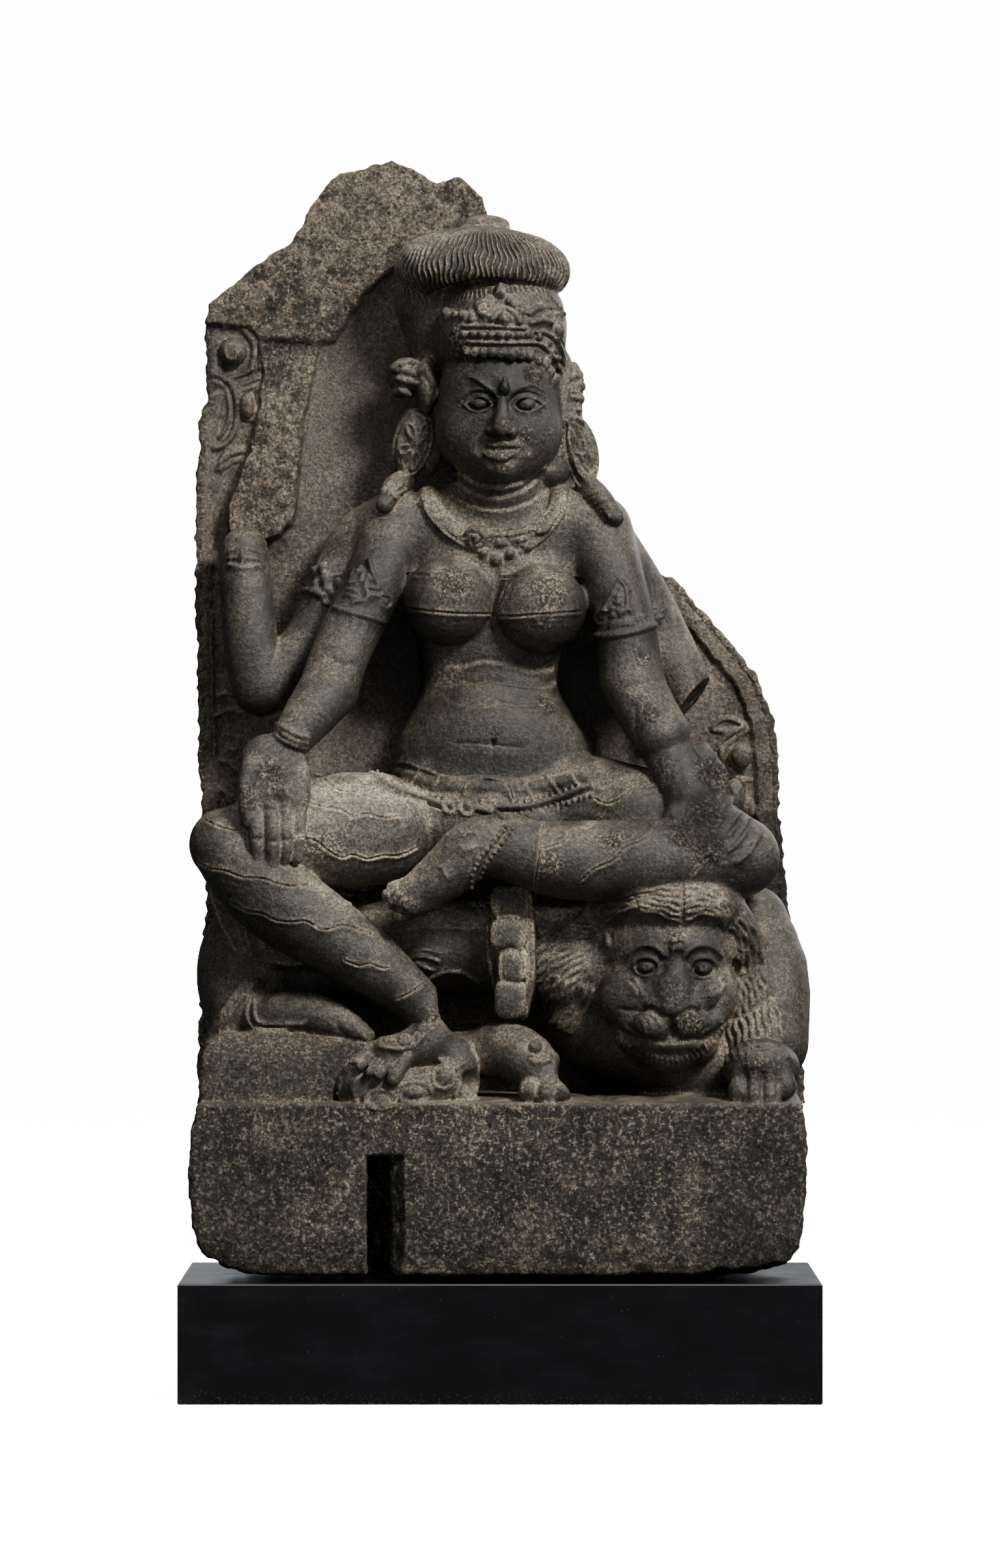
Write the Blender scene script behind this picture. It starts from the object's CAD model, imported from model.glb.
"""Looks of the carved stele and its plinth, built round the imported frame.

The stone is modelled as a field of distances to its skin, in clay-like steps: forms are joined and cut
softly, and the fine carving is laid on where sight lines from the front meet the stone. The skin is then
meshed, roughened where it is broken or tooled, and thinned. Places are in shares, thousandths of the
stone's height: x to the right, y away from the viewer from the plinth's middle, z up from the stone's
underside.
"""
import math

import bpy
import numpy as np
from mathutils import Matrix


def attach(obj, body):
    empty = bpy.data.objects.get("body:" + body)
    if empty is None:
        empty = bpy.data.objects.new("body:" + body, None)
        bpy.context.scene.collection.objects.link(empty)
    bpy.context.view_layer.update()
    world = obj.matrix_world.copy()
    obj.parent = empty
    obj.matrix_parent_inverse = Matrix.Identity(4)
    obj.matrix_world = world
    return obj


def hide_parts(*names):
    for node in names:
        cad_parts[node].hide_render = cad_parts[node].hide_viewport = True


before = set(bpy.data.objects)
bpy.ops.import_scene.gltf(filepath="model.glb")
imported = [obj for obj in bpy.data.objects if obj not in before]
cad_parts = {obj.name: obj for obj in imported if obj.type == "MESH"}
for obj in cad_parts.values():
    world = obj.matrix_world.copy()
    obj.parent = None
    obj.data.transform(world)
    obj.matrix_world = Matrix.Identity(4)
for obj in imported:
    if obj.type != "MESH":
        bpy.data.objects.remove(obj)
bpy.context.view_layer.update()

import openvdb
from mathutils import Matrix, Vector

# One share in metres, and the height of the stone's underside
SHARE = 0.000965
STONE_FOOT = 0.1023

# The camera stands level in front, in shares, and looks for the stone between two depths
VIEW_X, VIEW_Y, VIEW_Z = 0.0, -6414.5, 437.7
SIGHT_DEPTHS = np.arange(-144.0, 70.0, 0.9)

# The field's reach to either side of the skin, and places that several forms share
REACH = 8.0
BACK = 116.0
SLAB_FRONT = 46.0
BLOCK_FRONT = -124.0
BLOCK_TOP = 157.0

# Lines: how far raised ones stand out besides, by shares of their radius, the leap in depth that breaks
# them, the length of a step, how they are calmed in depth, and the places along a strand
PROUD = 0.2
LEAP = 7.0
LINE_STEP = 3.0
CALM, CALM_ROUNDS = 0.35, 3
STRAND_PLACES = 24

# How far roughening may dig and raise, and how far off the skin hollows are looked for
DEEPEST, HIGHEST = -2.6, 1.3
HOLLOW_NEAR, HOLLOW_FAR = 2.2, 6.5

TRIANGLES = 198000
COARSE = 1.0

# The random lattice that all noise reads
LATTICE_SIZE = 64
LATTICE = np.random.default_rng(41).random((LATTICE_SIZE,) * 3, dtype=np.float32) * 2 - 1
LATTICE_OFFSETS = (3.1, 17.7, 29.3)
OCTAVE_OFFSET = 5.3
CORNERS = [(i, j, k) for i in (0, 1) for j in (0, 1) for k in (0, 1)]
TINY = 1e-9


def spaced(*stops):
    """Grid places from stops of (start, step); the last stop is where they end."""
    runs = [np.arange(a, b, step * COARSE) for (a, step), (b, _) in zip(stops, stops[1:])]
    return np.concatenate(runs + [[stops[-1][0]]]).astype(np.float32)


def smooth_path(points, per):
    """A Catmull-Rom path through rows of any width, with so many places a span."""
    p = np.asarray(points, float)
    if len(p) == 2:
        return p[0] + (p[1] - p[0]) * np.linspace(0, 1, per + 1)[:, None]
    ends = np.vstack([2 * p[0] - p[1], p, 2 * p[-1] - p[-2]])
    t = np.linspace(0, 1, per, endpoint=False)[:, None]
    rows = []
    for a, b, c, d in zip(ends, ends[1:], ends[2:], ends[3:]):
        bend = (2 * a - 5 * b + 4 * c - d) * t**2 + (3 * b - 3 * c + d - a) * t**3
        rows.append(0.5 * (2 * b + (c - a) * t + bend))
    return np.vstack(rows + [p[-1:]])


def evenly(points, count, width=3):
    """So many rows at equal distances along a smooth path, measured over the first columns."""
    fine = smooth_path(points, 14)
    steps = np.linalg.norm(np.diff(fine[:, :width], axis=0), axis=1)
    run = np.concatenate([[0], np.cumsum(steps)])
    at = np.linspace(0, run[-1], count)
    return np.stack([np.interp(at, run, column) for column in fine.T], axis=1)


def length_of(points, width=3):
    """The length of a smooth path, measured over the first columns."""
    fine = smooth_path(points, 8)[:, :width]
    return float(np.linalg.norm(np.diff(fine, axis=0), axis=1).sum())


def blend_corners(corner, shares):
    """What a grid says between its places, from its corners and the shares of the way to the far ones."""
    total = 0.0
    for step in CORNERS:
        value = corner(*step)
        for far, share in zip(step, shares):
            value = value * (share if far else 1 - share)
        total = total + value
    return total


def noise(x, y, z, size, shift=0.0, octaves=1):
    """Smooth noise from -1 to 1, with lumps about as big as size."""
    total, weight, share = 0.0, 0.0, 1.0
    for octave in range(octaves):
        lows, parts = [], []
        for c, offset in zip((x, y, z), LATTICE_OFFSETS):
            c = np.asarray(c, np.float32) * np.float32(2**octave / size)
            c = c + np.float32(offset + shift + OCTAVE_OFFSET * octave)
            low = np.floor(c)
            part = c - low
            lows.append(low.astype(np.int32) % LATTICE_SIZE)
            parts.append(part * part * (3 - 2 * part))
        value = blend_corners(
            lambda *step: LATTICE[tuple((low + one) % LATTICE_SIZE for low, one in zip(lows, step))], parts
        )
        total = total + value * share
        weight += share
        share *= 0.5
    return total / weight


def ramp(value, low, high):
    """0 below low, 1 above high, smooth between."""
    t = np.clip((value - low) / (high - low), 0, 1)
    return t * t * (3 - 2 * t)


def soft_min(a, b, soft):
    """The lesser of two distances, with the seam rounded."""
    if soft <= 0:
        return np.minimum(a, b)
    h = np.clip(0.5 + 0.5 * (a - b) / soft, 0, 1)
    return a + (b - a) * h - soft * h * (1 - h)


def soft_max(a, b, soft):
    """The greater of two distances, with the seam rounded."""
    return -soft_min(-a, -b, soft)


def turned(angles):
    """The matrix that turns about x, then y, then z, by degrees."""
    matrix = Matrix.Identity(3)
    for axis, angle in zip("XYZ", angles):
        matrix = Matrix.Rotation(math.radians(angle), 3, axis) @ matrix
    return np.array(matrix)


def sideways(path):
    """Unit directions across a front-plane path."""
    along = np.gradient(path, axis=0)
    return np.stack([-along[:, 1], along[:, 0]], axis=1) / (np.linalg.norm(along, axis=1)[:, None] + TINY)


def each(value, count):
    """One number for every place of a path, or the numbers given."""
    return np.full(count, value, float) if np.isscalar(value) else np.asarray(value, float)


def on_axis(axis, c):
    """The grid place below each coordinate, and the share of the way to the next."""
    at = np.clip(np.interp(c, axis, np.arange(len(axis))), 0, len(axis) - 1.001)
    low = at.astype(np.int32)
    return low, at - low


def on_sight(points, depths):
    """Where sight lines through front-plane points (x, z) are at given depths."""
    share = (depths - VIEW_Y) / -VIEW_Y
    return VIEW_X + (points[0] - VIEW_X) * share, VIEW_Z + (points[1] - VIEW_Z) * share


class Stone:
    """The field of distances to the stone's skin, below zero inside."""

    def __init__(self, xs, ys, zs):
        """An empty field over the grid's places."""
        self.axes = (xs, ys, zs)
        self.field = np.full([len(axis) for axis in self.axes], REACH, np.float32)

    def window(self, low, high):
        """The part of the grid between two corners."""
        spans = []
        for axis, a, b in zip(self.axes, low, high):
            i, j = np.searchsorted(axis, (a, b))
            spans.append(slice(max(int(i) - 1, 0), min(int(j) + 1, len(axis))))
        return tuple(spans)

    def places(self, window):
        """The coordinates of a part of the grid."""
        x, y, z = (axis[span] for axis, span in zip(self.axes, window))
        return x[:, None, None], y[None, :, None], z[None, None, :]

    def lay(self, window, distance, soft, away=False):
        """Join a form to the stone, or cut it away."""
        if away:
            self.field[window] = soft_max(self.field[window], -distance, soft)
        else:
            self.field[window] = soft_min(self.field[window], distance, soft)

    def ball(self, centre, radii, soft=2.0, turn=None, away=False, change=None):
        """An ellipsoid; change may alter its distances, for flutes and waves."""
        radii = each(radii, 3)
        reach = (radii if turn is None else np.full(3, radii.max())) + max(soft, 2) + 3
        centre = np.asarray(centre, float)
        window = self.window(centre - reach, centre + reach)
        x, y, z = (c - np.float32(middle) for c, middle in zip(self.places(window), centre))
        if turn is not None:
            m = turned(turn).T.astype(np.float32)
            x, y, z = (row[0] * x + row[1] * y + row[2] * z for row in m)
        u, v, w = ((c / np.float32(r)) ** 2 for c, r in zip((x, y, z), radii))
        near = np.sqrt(u + v + w)
        slope = np.sqrt(u / radii[0] ** 2 + v / radii[1] ** 2 + w / radii[2] ** 2).astype(np.float32) + 1e-6
        distance = near * (near - 1) / slope
        if change is not None:
            distance = change(distance, x, y, z)
        self.lay(window, distance, soft, away)

    def limb(self, path, radii, soft=2.0, flat=1.0, away=False, change=None):
        """A round form along a smooth path; flat squeezes its depth."""
        path = np.asarray(path, float)
        radii = each(radii, len(path))
        count = int(np.clip(length_of(path) / max(0.55 * radii.mean(), 2.0), 2, 60)) + 1
        rows = evenly(np.column_stack([path, radii]), count)
        pad = max(soft, 1.5) + 2.5
        window = self.window(
            (rows[:, :3] - rows[:, 3:] - pad).min(0), (rows[:, :3] + rows[:, 3:] + pad).max(0)
        )
        whole = np.full([span.stop - span.start for span in window], REACH, np.float32)
        for a, b in zip(rows, rows[1:]):
            reach = max(a[3], b[3]) + pad
            near = self.window(np.minimum(a, b)[:3] - reach, np.maximum(a, b)[:3] + reach)
            part = tuple(slice(max(n.start, w.start), min(n.stop, w.stop)) for n, w in zip(near, window))
            x, y, z = self.places(part)
            along = (b[:3] - a[:3]).astype(np.float32)
            x, y, z = x - np.float32(a[0]), (y - np.float32(a[1])) / np.float32(flat), z - np.float32(a[2])
            along[1] /= flat
            t = (x * along[0] + y * along[1] + z * along[2]) / np.float32(along @ along + TINY)
            t = np.clip(t, 0, 1)
            distance = np.sqrt((x - t * along[0]) ** 2 + (y - t * along[1]) ** 2 + (z - t * along[2]) ** 2)
            distance = distance - (np.float32(a[3]) + t * np.float32(b[3] - a[3]))
            distance = distance * np.float32(min(flat, 1))
            inner = tuple(slice(p.start - w.start, p.stop - w.start) for p, w in zip(part, window))
            whole[inner] = np.minimum(whole[inner], distance)
        if change is not None:
            whole = change(whole, *self.places(window))
        self.lay(window, whole, soft, away)

    def stack(self, levels, soft=2.0):
        """Level ellipses stacked upwards: rows of x, y, z, half width, half depth."""
        fine = smooth_path(levels, 10)
        fine = fine[np.argsort(fine[:, 2])]
        pad = soft + 5
        low = [(fine[:, 0] - fine[:, 3]).min() - pad, (fine[:, 1] - fine[:, 4]).min() - pad, fine[0, 2]]
        high = [(fine[:, 0] + fine[:, 3]).max() + pad, (fine[:, 1] + fine[:, 4]).max() + pad, fine[-1, 2]]
        window = self.window(low, high)
        x, y, z = self.places(window)
        cx, cy, wide, deep = (
            np.interp(z[0, 0], fine[:, 2], fine[:, c]).astype(np.float32) for c in (0, 1, 3, 4)
        )
        u, v = ((x - cx) / wide) ** 2, ((y - cy) / deep) ** 2
        near = np.sqrt(u + v)
        distance = near * (near - 1) / (np.sqrt(u / wide**2 + v / deep**2) + 1e-6)
        distance = np.maximum(distance, np.maximum(fine[0, 2] - z, z - fine[-1, 2]).astype(np.float32))
        self.lay(window, distance, soft)

    def outline(self, points, wavy=True):
        """Signed distances in the front plane to a closed outline, over the whole field."""
        x, z = self.axes[0][:, None], self.axes[2][None, :]
        if wavy:
            x, z = waver(x, z)
        best = np.full(np.broadcast(x, z).shape, 1e9, np.float32)
        odd = np.zeros(best.shape, bool)
        points = np.asarray(points, np.float32)
        for (ax, az), (bx, bz) in zip(points, np.roll(points, -1, axis=0)):
            ex, ez = bx - ax, bz - az
            t = np.clip(((x - ax) * ex + (z - az) * ez) / (ex * ex + ez * ez + TINY), 0, 1)
            best = np.minimum(best, (x - ax - t * ex) ** 2 + (z - az - t * ez) ** 2)
            if az != bz:
                odd ^= ((az > z) != (bz > z)) & (x < ax + (z - az) / (bz - az) * ex)
        best = np.sqrt(best)
        return np.where(odd, -best, best)

    def spread(self, window, flat_map):
        """A map of the front plane, spread through the depths of a part of the grid."""
        return flat_map[window[0], window[2]][:, None, :].astype(np.float32)

    def board(self, window, outline, front, back, edge_soft, back_soft):
        """Distances to a flat form with a given outline, between two depths, in a part of the grid."""
        y = self.places(window)[1]
        return soft_max(soft_max(self.spread(window, outline), front - y, edge_soft), y - back, back_soft)

    def sample(self, x, y, z):
        """The field between its grid places, for arrays that fit each other."""
        spots = [on_axis(axis, c) for axis, c in zip(self.axes, (x, y, z))]
        i, j, k = (low for low, _ in spots)
        return blend_corners(
            lambda di, dj, dk: self.field[i + di, j + dj, k + dk],
            [share.astype(np.float32) for _, share in spots]
        )

    def outward(self, p):
        """Unit directions in which the field grows, at rows of places."""
        steps = np.eye(3) * 1.2
        slopes = np.stack(
            [self.sample(*(p + step).T) - self.sample(*(p - step).T) for step in steps], axis=1
        )
        return slopes / (np.linalg.norm(slopes, axis=1, keepdims=True) + TINY)

    def touch(self, points):
        """Where sight lines through front-plane points first meet the stone, and its directions out."""
        points = np.asarray(points, float).reshape(-1, 2)
        depths = SIGHT_DEPTHS
        x, z = on_sight((points[:, :1], points[:, 1:]), depths)
        values = self.sample(x, np.broadcast_to(depths, x.shape), z)
        hit = np.maximum((values < 0).argmax(axis=1), 1)
        rows = np.arange(len(points))
        before, after = values[rows, hit - 1], values[rows, hit]
        part = np.clip(before / (before - after + TINY), 0, 1)
        y = depths[hit - 1] + part * (depths[1] - depths[0])
        y = np.where(values.min(axis=1) < 0, y, depths[values.argmin(axis=1)])
        x, z = on_sight(points.T, y)
        found = np.column_stack([x, y, z])
        return found, self.outward(found)

    def line(self, path, radius, sink=0.0, soft=1.0, away=False):
        """A raised or cut line on the skin, drawn in the front plane; sink is in shares of its radius."""
        path = np.asarray(path, float)
        count = int(max(length_of(path, 2) / LINE_STEP, 3)) + 1
        rows = evenly(np.column_stack([path, each(radius, len(path))]), count, 2)
        places, out = self.touch(rows[:, :2])
        sink = sink - (0.0 if away else PROUD)
        leaps = np.flatnonzero(np.abs(np.diff(places[:, 1])) > LEAP) + 1
        for part in np.split(np.arange(len(rows)), leaps):
            if len(part) > 1:
                run = places[part]
                for _ in range(CALM_ROUNDS):
                    run[1:-1, 1] += CALM * ((run[:-2, 1] + run[2:, 1]) / 2 - run[1:-1, 1])
                self.limb(run - out[part] * rows[part, 2:] * sink, rows[part, 2], soft=soft, away=away)

    def beads(self, path, count, radius, sink=0.3, soft=0.6, stretch=(1, 1, 1), away=False):
        """Round beads set out evenly on the skin along a front-plane path."""
        rows = evenly(np.asarray(path, float), count, 2) if count > 1 else np.asarray(path, float)[:1]
        places, out = self.touch(rows)
        for place in places - out * radius * sink:
            self.ball(place, radius * np.asarray(stretch, float), soft=soft, away=away)

    def strands(self, guides, count, radius, sink=0.0, soft=0.8, wave=0.0, waves=3.0, away=False):
        """Combed strands between guide lines of the front plane, each drawn on the skin."""
        guides = np.stack([evenly(guide, STRAND_PLACES, 2) for guide in guides])
        turn = np.linspace(0, 2 * np.pi * waves, STRAND_PLACES)
        for share in np.linspace(0, 1, count):
            at = share * (len(guides) - 1)
            low = min(int(at), len(guides) - 2)
            path = guides[low] + (guides[low + 1] - guides[low]) * (at - low)
            path = path + sideways(path) * (wave * np.sin(turn + 9 * share))[:, None]
            self.line(path, radius, sink=sink, soft=soft, away=away)


# Distances to outlines in the front plane, kept for the looks
MASKS = {}
stone = Stone(
    spaced((-283, 1.05), (-84, 0.9), (84, 1.05), (283, 0)), spaced((-142, 1.3), (50, 4.6), (122, 0)),
    spaced((-3, 2.2), (146, 1.05), (640, 0.9), (940, 1.9), (1008, 0))
)
ball, limb, stack = stone.ball, stone.limb, stone.stack
line, beads, strands = stone.line, stone.beads, stone.strands


def waver(x, z):
    """Uneven tooled and broken edges."""
    return x + 1.5 * noise(x, 0, z, 9, 1) + 0.8 * noise(x, 0, z, 4, 2), z + 1.5 * noise(x, 0, z, 8, 3)


def back_slab():
    """The slab: broken above, tooled at its sides, smooth by the head, with a low carved band at the left."""
    outline = [
        (-274, 146), (-273, 205), (-269, 264), (-266, 334), (-270, 422), (-274, 522), (-276, 622),
        (-274, 722), (-271, 774), (-266, 782), (-266, 861), (-262, 870), (-248, 883), (-227, 900),
        (-213, 911), (-192, 923), (-179, 940), (-172, 958), (-157, 976), (-145, 988), (-130, 990),
        (-115, 995), (-98, 1001), (-85, 994), (-72, 988), (-58, 980), (-45, 985), (-35, 986), (-26, 977),
        (-17, 967), (-12, 955), (-9, 943), (37, 910), (46, 869), (48, 793), (58, 740), (96, 681),
        (113, 656), (128, 633), (138, 628), (155, 625), (167, 613), (183, 595), (197, 578), (215, 557),
        (230, 540), (238, 521), (248, 496), (250, 478), (253, 446), (253, 411), (256, 375), (263, 305),
        (268, 264), (272, 229), (274, 193), (276, 146)
    ]
    broken = [
        (-280, 851), (-274, 922), (-192, 969), (-157, 1010), (-4, 1010), (2, 922), (-39, 938), (-86, 910),
        (-122, 878), (-136, 857), (-148, 836), (-161, 834), (-216, 839), (-227, 848)
    ]
    lost_hand = [
        (-218, 841), (-215, 815), (-217, 786), (-221, 762), (-228, 739), (-236, 715), (-243, 697),
        (-247, 680), (-246, 667), (-241, 659), (-233, 653), (-221, 653), (-208, 656), (-197, 662),
        (-188, 671), (-183, 680), (-181, 707), (-179, 739), (-175, 774), (-169, 806), (-160, 836)
    ]
    x, z = stone.axes[0][:, None], stone.axes[2][None, :]
    edge = stone.outline(outline)
    scallops = 1.3 * np.abs(np.sin(z * np.pi / 15 + 0.8 * noise(0, 0, z, 40, 4)))
    edge = edge + scallops * ramp(z, 930, 860) * ramp(z, 150, 170) * ramp(np.abs(x), 200, 240)
    front = SLAB_FRONT + 1.2 * noise(x, 0, z, 70, 5)
    fracture = stone.outline(broken)
    front = front - 8 * ramp(-fracture, -2.5, 4) - 3 * ramp(-fracture, 4, 60)
    front = front + 1.6 * noise(x, 0, z, 26, 6) * ramp(-fracture, -2, 6)
    hand_scar = stone.outline(lost_hand)
    MASKS.update({"broken": fracture, "lost hand": hand_scar, "edge": edge})
    proud = 9 + 19 * ramp(z, 840, 640)
    front = front - (proud - 5) * ramp(-hand_scar, -1.0, 2.6)
    left_strip = ramp(edge, -17, -13) * ramp(z, 880, 850) * ramp(x, 0, -40)
    right_strip = ramp(edge, -24, -19) * ramp(x, 60, 90)
    front = front - 6 * (left_strip + right_strip)
    cut = ramp(np.abs(edge + 12.5), 1.9, 0.4) * ramp(x, 0, -40) * ramp(z, 880, 850)
    front = front + 2.2 * cut
    window = stone.window((-290, 14, 150), (290, 122, 1010))
    x, _, z = stone.places(window)
    back = BACK - 2 + 1.5 * noise(x, 0, z, 30, 7, 2)
    whole = stone.board(window, edge, stone.spread(window, front), back, 4.0, 9.0)
    stone.lay(window, whole.astype(np.float32), 0)


def block():
    """The rough block, its lower corners worn round, with the ledge the feet stand on."""
    outline = [
        (-263, 162), (-267, 154), (-272, 131), (-274, 102), (-273, 68), (-270, 42), (-262, 25), (-247, 14),
        (-210, 3), (-38, 0), (191, 0), (231, 8), (251, 15), (264, 30), (269, 68), (270, 119), (268, 154),
        (265, 161)
    ]
    window = stone.window((-290, -142, -4), (290, 122, 176))
    x, y, z = stone.places(window)
    front = BLOCK_FRONT + 1.4 * noise(x, 0, z, 34, 8, 2) + 5 * ramp(z, 40, 0)
    whole = stone.board(window, stone.outline(outline), front, BACK - 2, 7.0, 14.0)
    underside = 1.0 + 3.5 * ramp(y, -70, -122) + (1.8 * noise(x, y, 0, 26, 9, 2) + 1.2) * ramp(y, -60, -118)
    notch = 8 * ramp(np.abs(x - 240), 62, 46) * ramp(y, -60, -116) * (1 + 0.4 * noise(x, 0, 0, 12, 3))
    whole = soft_max(whole, underside + notch * 0.8 - z, 4.0)
    top = BLOCK_TOP + 0.05 * (y - BLOCK_FRONT) + 5 * ramp(y, -110, -20)
    whole = soft_max(whole, z - top, 2.0)
    stone.lay(window, whole.astype(np.float32), 1.0)


def slot():
    """The open slot in the block's front, splayed to the right towards the viewer."""
    left, right, top, behind = -118, -97, 111, -62
    window = stone.window((left - 12, -142, -4), (right + 30, -50, top + 12))
    x, y, z = stone.places(window)
    waves = 1.2 * noise(x, y, z, 10, 12, 2)
    splay = 13 * ramp(y, -100, -126)
    whole = np.maximum(np.maximum(left - x, x - right - splay), np.maximum(z - top, y - behind)) + waves
    stone.lay(window, whole.astype(np.float32), 2.0, away=True)


def torso():
    """The trunk, neck, belly, lap and breasts."""
    stack(
        [
            (-6, 4, 404, 84, 50), (-6, 2, 449, 88, 56), (-6, 2, 474, 87, 55), (-8, 4, 500, 73, 49),
            (-10, 5, 521, 63, 43), (-10, 5, 539, 62, 42), (-9, 4, 564, 66, 43), (-7, 4, 587, 75, 46),
            (-5, 4, 621, 82, 47), (-4, 4, 655, 88, 43), (-2, 6, 678, 79, 37), (-1, 4, 694, 52, 32),
            (0, 0, 707, 42, 30)
        ],
        soft=4
    )
    limb([(-2, 4, 670), (-62, 4, 670), (-95, 0, 663)], [36, 35, 31], soft=10)
    limb([(-2, 4, 670), (59, 4, 670), (85, 0, 663)], [36, 35, 31], soft=10)
    limb([(1, -6, 688), (0, -14, 708), (-1, -24, 731)], [41, 38, 37], soft=6, flat=0.86)
    ball((-6, -20, 485), (66, 36, 46), soft=12)
    ball((-6, -20, 404), (94, 48, 44), soft=10)
    ball((-46, -34, 601), (40, 41, 39.5), soft=3)
    ball((36, -34, 595), (40.5, 41, 40), soft=3)


def arms():
    """The four arms: two raised behind, of which the left is broken off, and two in front."""
    limb(
        [(-95, 14, 673), (-126, 12, 655), (-150, 8, 608), (-172, 2, 563), (-209, -6, 526)],
        [28, 26, 25, 24, 25], soft=6
    )
    limb(
        [(-214, -6, 523), (-221, -8, 551), (-225, -8, 586), (-228, -4, 621), (-229, 4, 647)],
        [25, 25, 24, 23, 21], soft=3
    )
    limb(
        [(-95, -2, 666), (-106, -20, 631), (-125, -36, 591), (-143, -52, 550), (-152, -66, 521)],
        [31, 27, 26.5, 26, 26.5], soft=8
    )
    limb([(-152, -66, 521), (-169, -82, 498), (-182, -92, 480)], [26.5, 23, 19])
    limb([(86, 16, 670), (122, 12, 615), (153, 4, 554), (170, -2, 516)], [26, 25, 24, 23], soft=6)
    limb([(86, -2, 665), (99, -16, 626), (110, -27, 585), (117, -38, 532)], [31, 28, 28, 28], soft=8)
    limb([(117, -38, 532), (129, -48, 505), (143, -55, 482)], [28, 27, 26], soft=3)
    ball((201, -10, 491), (44, 42, 44), soft=1.0, away=True)


def hand():
    """The open right hand over the knee, its broken thumb and its lotus mark."""
    ball((-199, -102, 443), (32, 11, 34), turn=(-8, 8, -6), soft=3)
    ball((-204, -99, 458), (25, 12, 24), soft=5)
    ball((-183, -108, 430), (16, 9, 26), soft=4)
    ball((-213, -108, 427), (14, 8, 22), soft=4)
    for path, radius in (
        ([(-215, -109, 417), (-214, -117, 391), (-212, -114, 366)], 7.2),
        ([(-201, -111, 415), (-200, -119, 389), (-200, -116, 364)], 7.0),
        ([(-189, -111, 416), (-188, -117, 390), (-189, -115, 371)], 6.4),
        ([(-177, -107, 421), (-178, -113, 395), (-179, -112, 372)], 6.8)
    ):
        limb(path, [radius + 1, radius, radius - 1.4], soft=1.2)
    limb([(-218, -108, 453), (-224, -114, 433), (-222, -114, 404)], [10, 7.5, 6], soft=3)


def legs():
    """The right leg hanging down and the left leg folded, with their feet and toes."""
    limb([(-110, -40, 398), (-137, -52, 397), (-189, -68, 392), (-243, -80, 385)], [50, 51, 43, 31], soft=6)
    limb(
        [
            (-243, -80, 384), (-216, -88, 353), (-185, -93, 327), (-148, -95, 303), (-112, -94, 278),
            (-82, -91, 254), (-62, -87, 233)
        ],
        [32, 37, 37, 33, 28, 22, 20], soft=2.5
    )
    limb(
        [(-59, -84, 235), (-52, -86, 224), (-65, -94, 210), (-83, -105, 204), (-101, -111, 204)],
        [20, 20, 20, 16, 12], soft=3
    )
    limb([(48, -4, 421), (112, -34, 412), (169, -52, 395), (208, -68, 375)], [48, 44, 40, 36], soft=6)
    limb(
        [(213, -72, 373), (154, -88, 374), (91, -96, 370), (45, -100, 372), (6, -104, 380)],
        [35, 33, 36, 33, 27], soft=2.5
    )
    limb(
        [(10, -102, 384), (-22, -110, 382), (-44, -114, 362), (-67, -116, 345), (-83, -117, 336)],
        [28, 26, 24, 20, 15], soft=4
    )
    for tip, root, radius in (
        ((-130, -119, 194), (-112, -110, 208), 3.7), ((-123, -121, 189), (-105, -112, 205), 3.9),
        ((-115, -123, 184), (-99, -114, 202), 4.0), ((-106, -124, 181), (-92, -116, 200), 4.2),
        ((-94, -123, 178), (-81, -116, 198), 6.2)
    ):
        limb([root, tip], [radius + 0.3, radius], soft=0.5)
    for tip, root, radius in (
        ((-95, -117, 347), (-76, -112, 353), 5), ((-99, -119, 340), (-75, -114, 345), 5.4),
        ((-93, -121, 332), (-72, -117, 338), 5.8), ((-89, -121, 321), (-67, -118, 329), 6),
        ((-77, -125, 331), (-60, -119, 335), 8.8)
    ):
        limb([root, tip], [radius + 0.5, radius], soft=0.8)


def pleats():
    """Cloth falling from the bent knee in a fan, and the hidden hind thigh behind it."""
    fan = [
        (-259, 341), (-251, 313), (-240, 292), (-228, 279), (-200, 275), (-172, 276), (-131, 267),
        (-120, 301), (-189, 348), (-252, 365)
    ]
    window = stone.window((-270, -78, 240), (-100, 20, 370))
    front = -60 - 6 * ramp(stone.places(window)[0], -270, -180)
    whole = stone.board(window, stone.outline(fan, wavy=False), front, 20, 5.0, 2.0)
    stone.lay(window, whole.astype(np.float32), 3)


def lion():
    """The couching lion's back, haunch and hind leg."""
    limb(
        [(-203, 6, 265), (-121, -6, 290), (-39, -14, 291), (31, -20, 287), (95, -16, 271), (159, -10, 254)],
        [52, 46, 42, 44, 60, 74], soft=8
    )
    ball((-225, -22, 268), (46, 44, 66), soft=8)
    ball((-229, -30, 243), (34, 42, 38), soft=8)
    limb(
        [(-213, -66, 232), (-189, -72, 235), (-160, -80, 233), (-136, -88, 224), (-118, -92, 215)],
        [15, 19, 18, 14, 8], soft=4
    )
    limb([(-253, -58, 209), (-240, -62, 229), (-221, -62, 255)], [10, 12, 10], soft=6)


def lion_rock():
    """The rough rock under the lion's hind paw."""
    rock = [
        (-267, 153), (-265, 187), (-262, 210), (-251, 216), (-214, 220), (-165, 218), (-136, 213),
        (-116, 210), (-128, 194), (-142, 176), (-149, 153)
    ]
    MASKS["rock"] = stone.outline(rock)
    window = stone.window((-276, -118, 148), (-96, 30, 236))
    x, _, z = stone.places(window)
    front = -106 + 12 * ramp(z, 196, 226) + 1.6 * noise(x, 0, z, 22, 21, 2)
    whole = stone.board(window, MASKS["rock"], front, 26, 8.0, 2.0)
    stone.lay(window, whole.astype(np.float32), 2)


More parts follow.
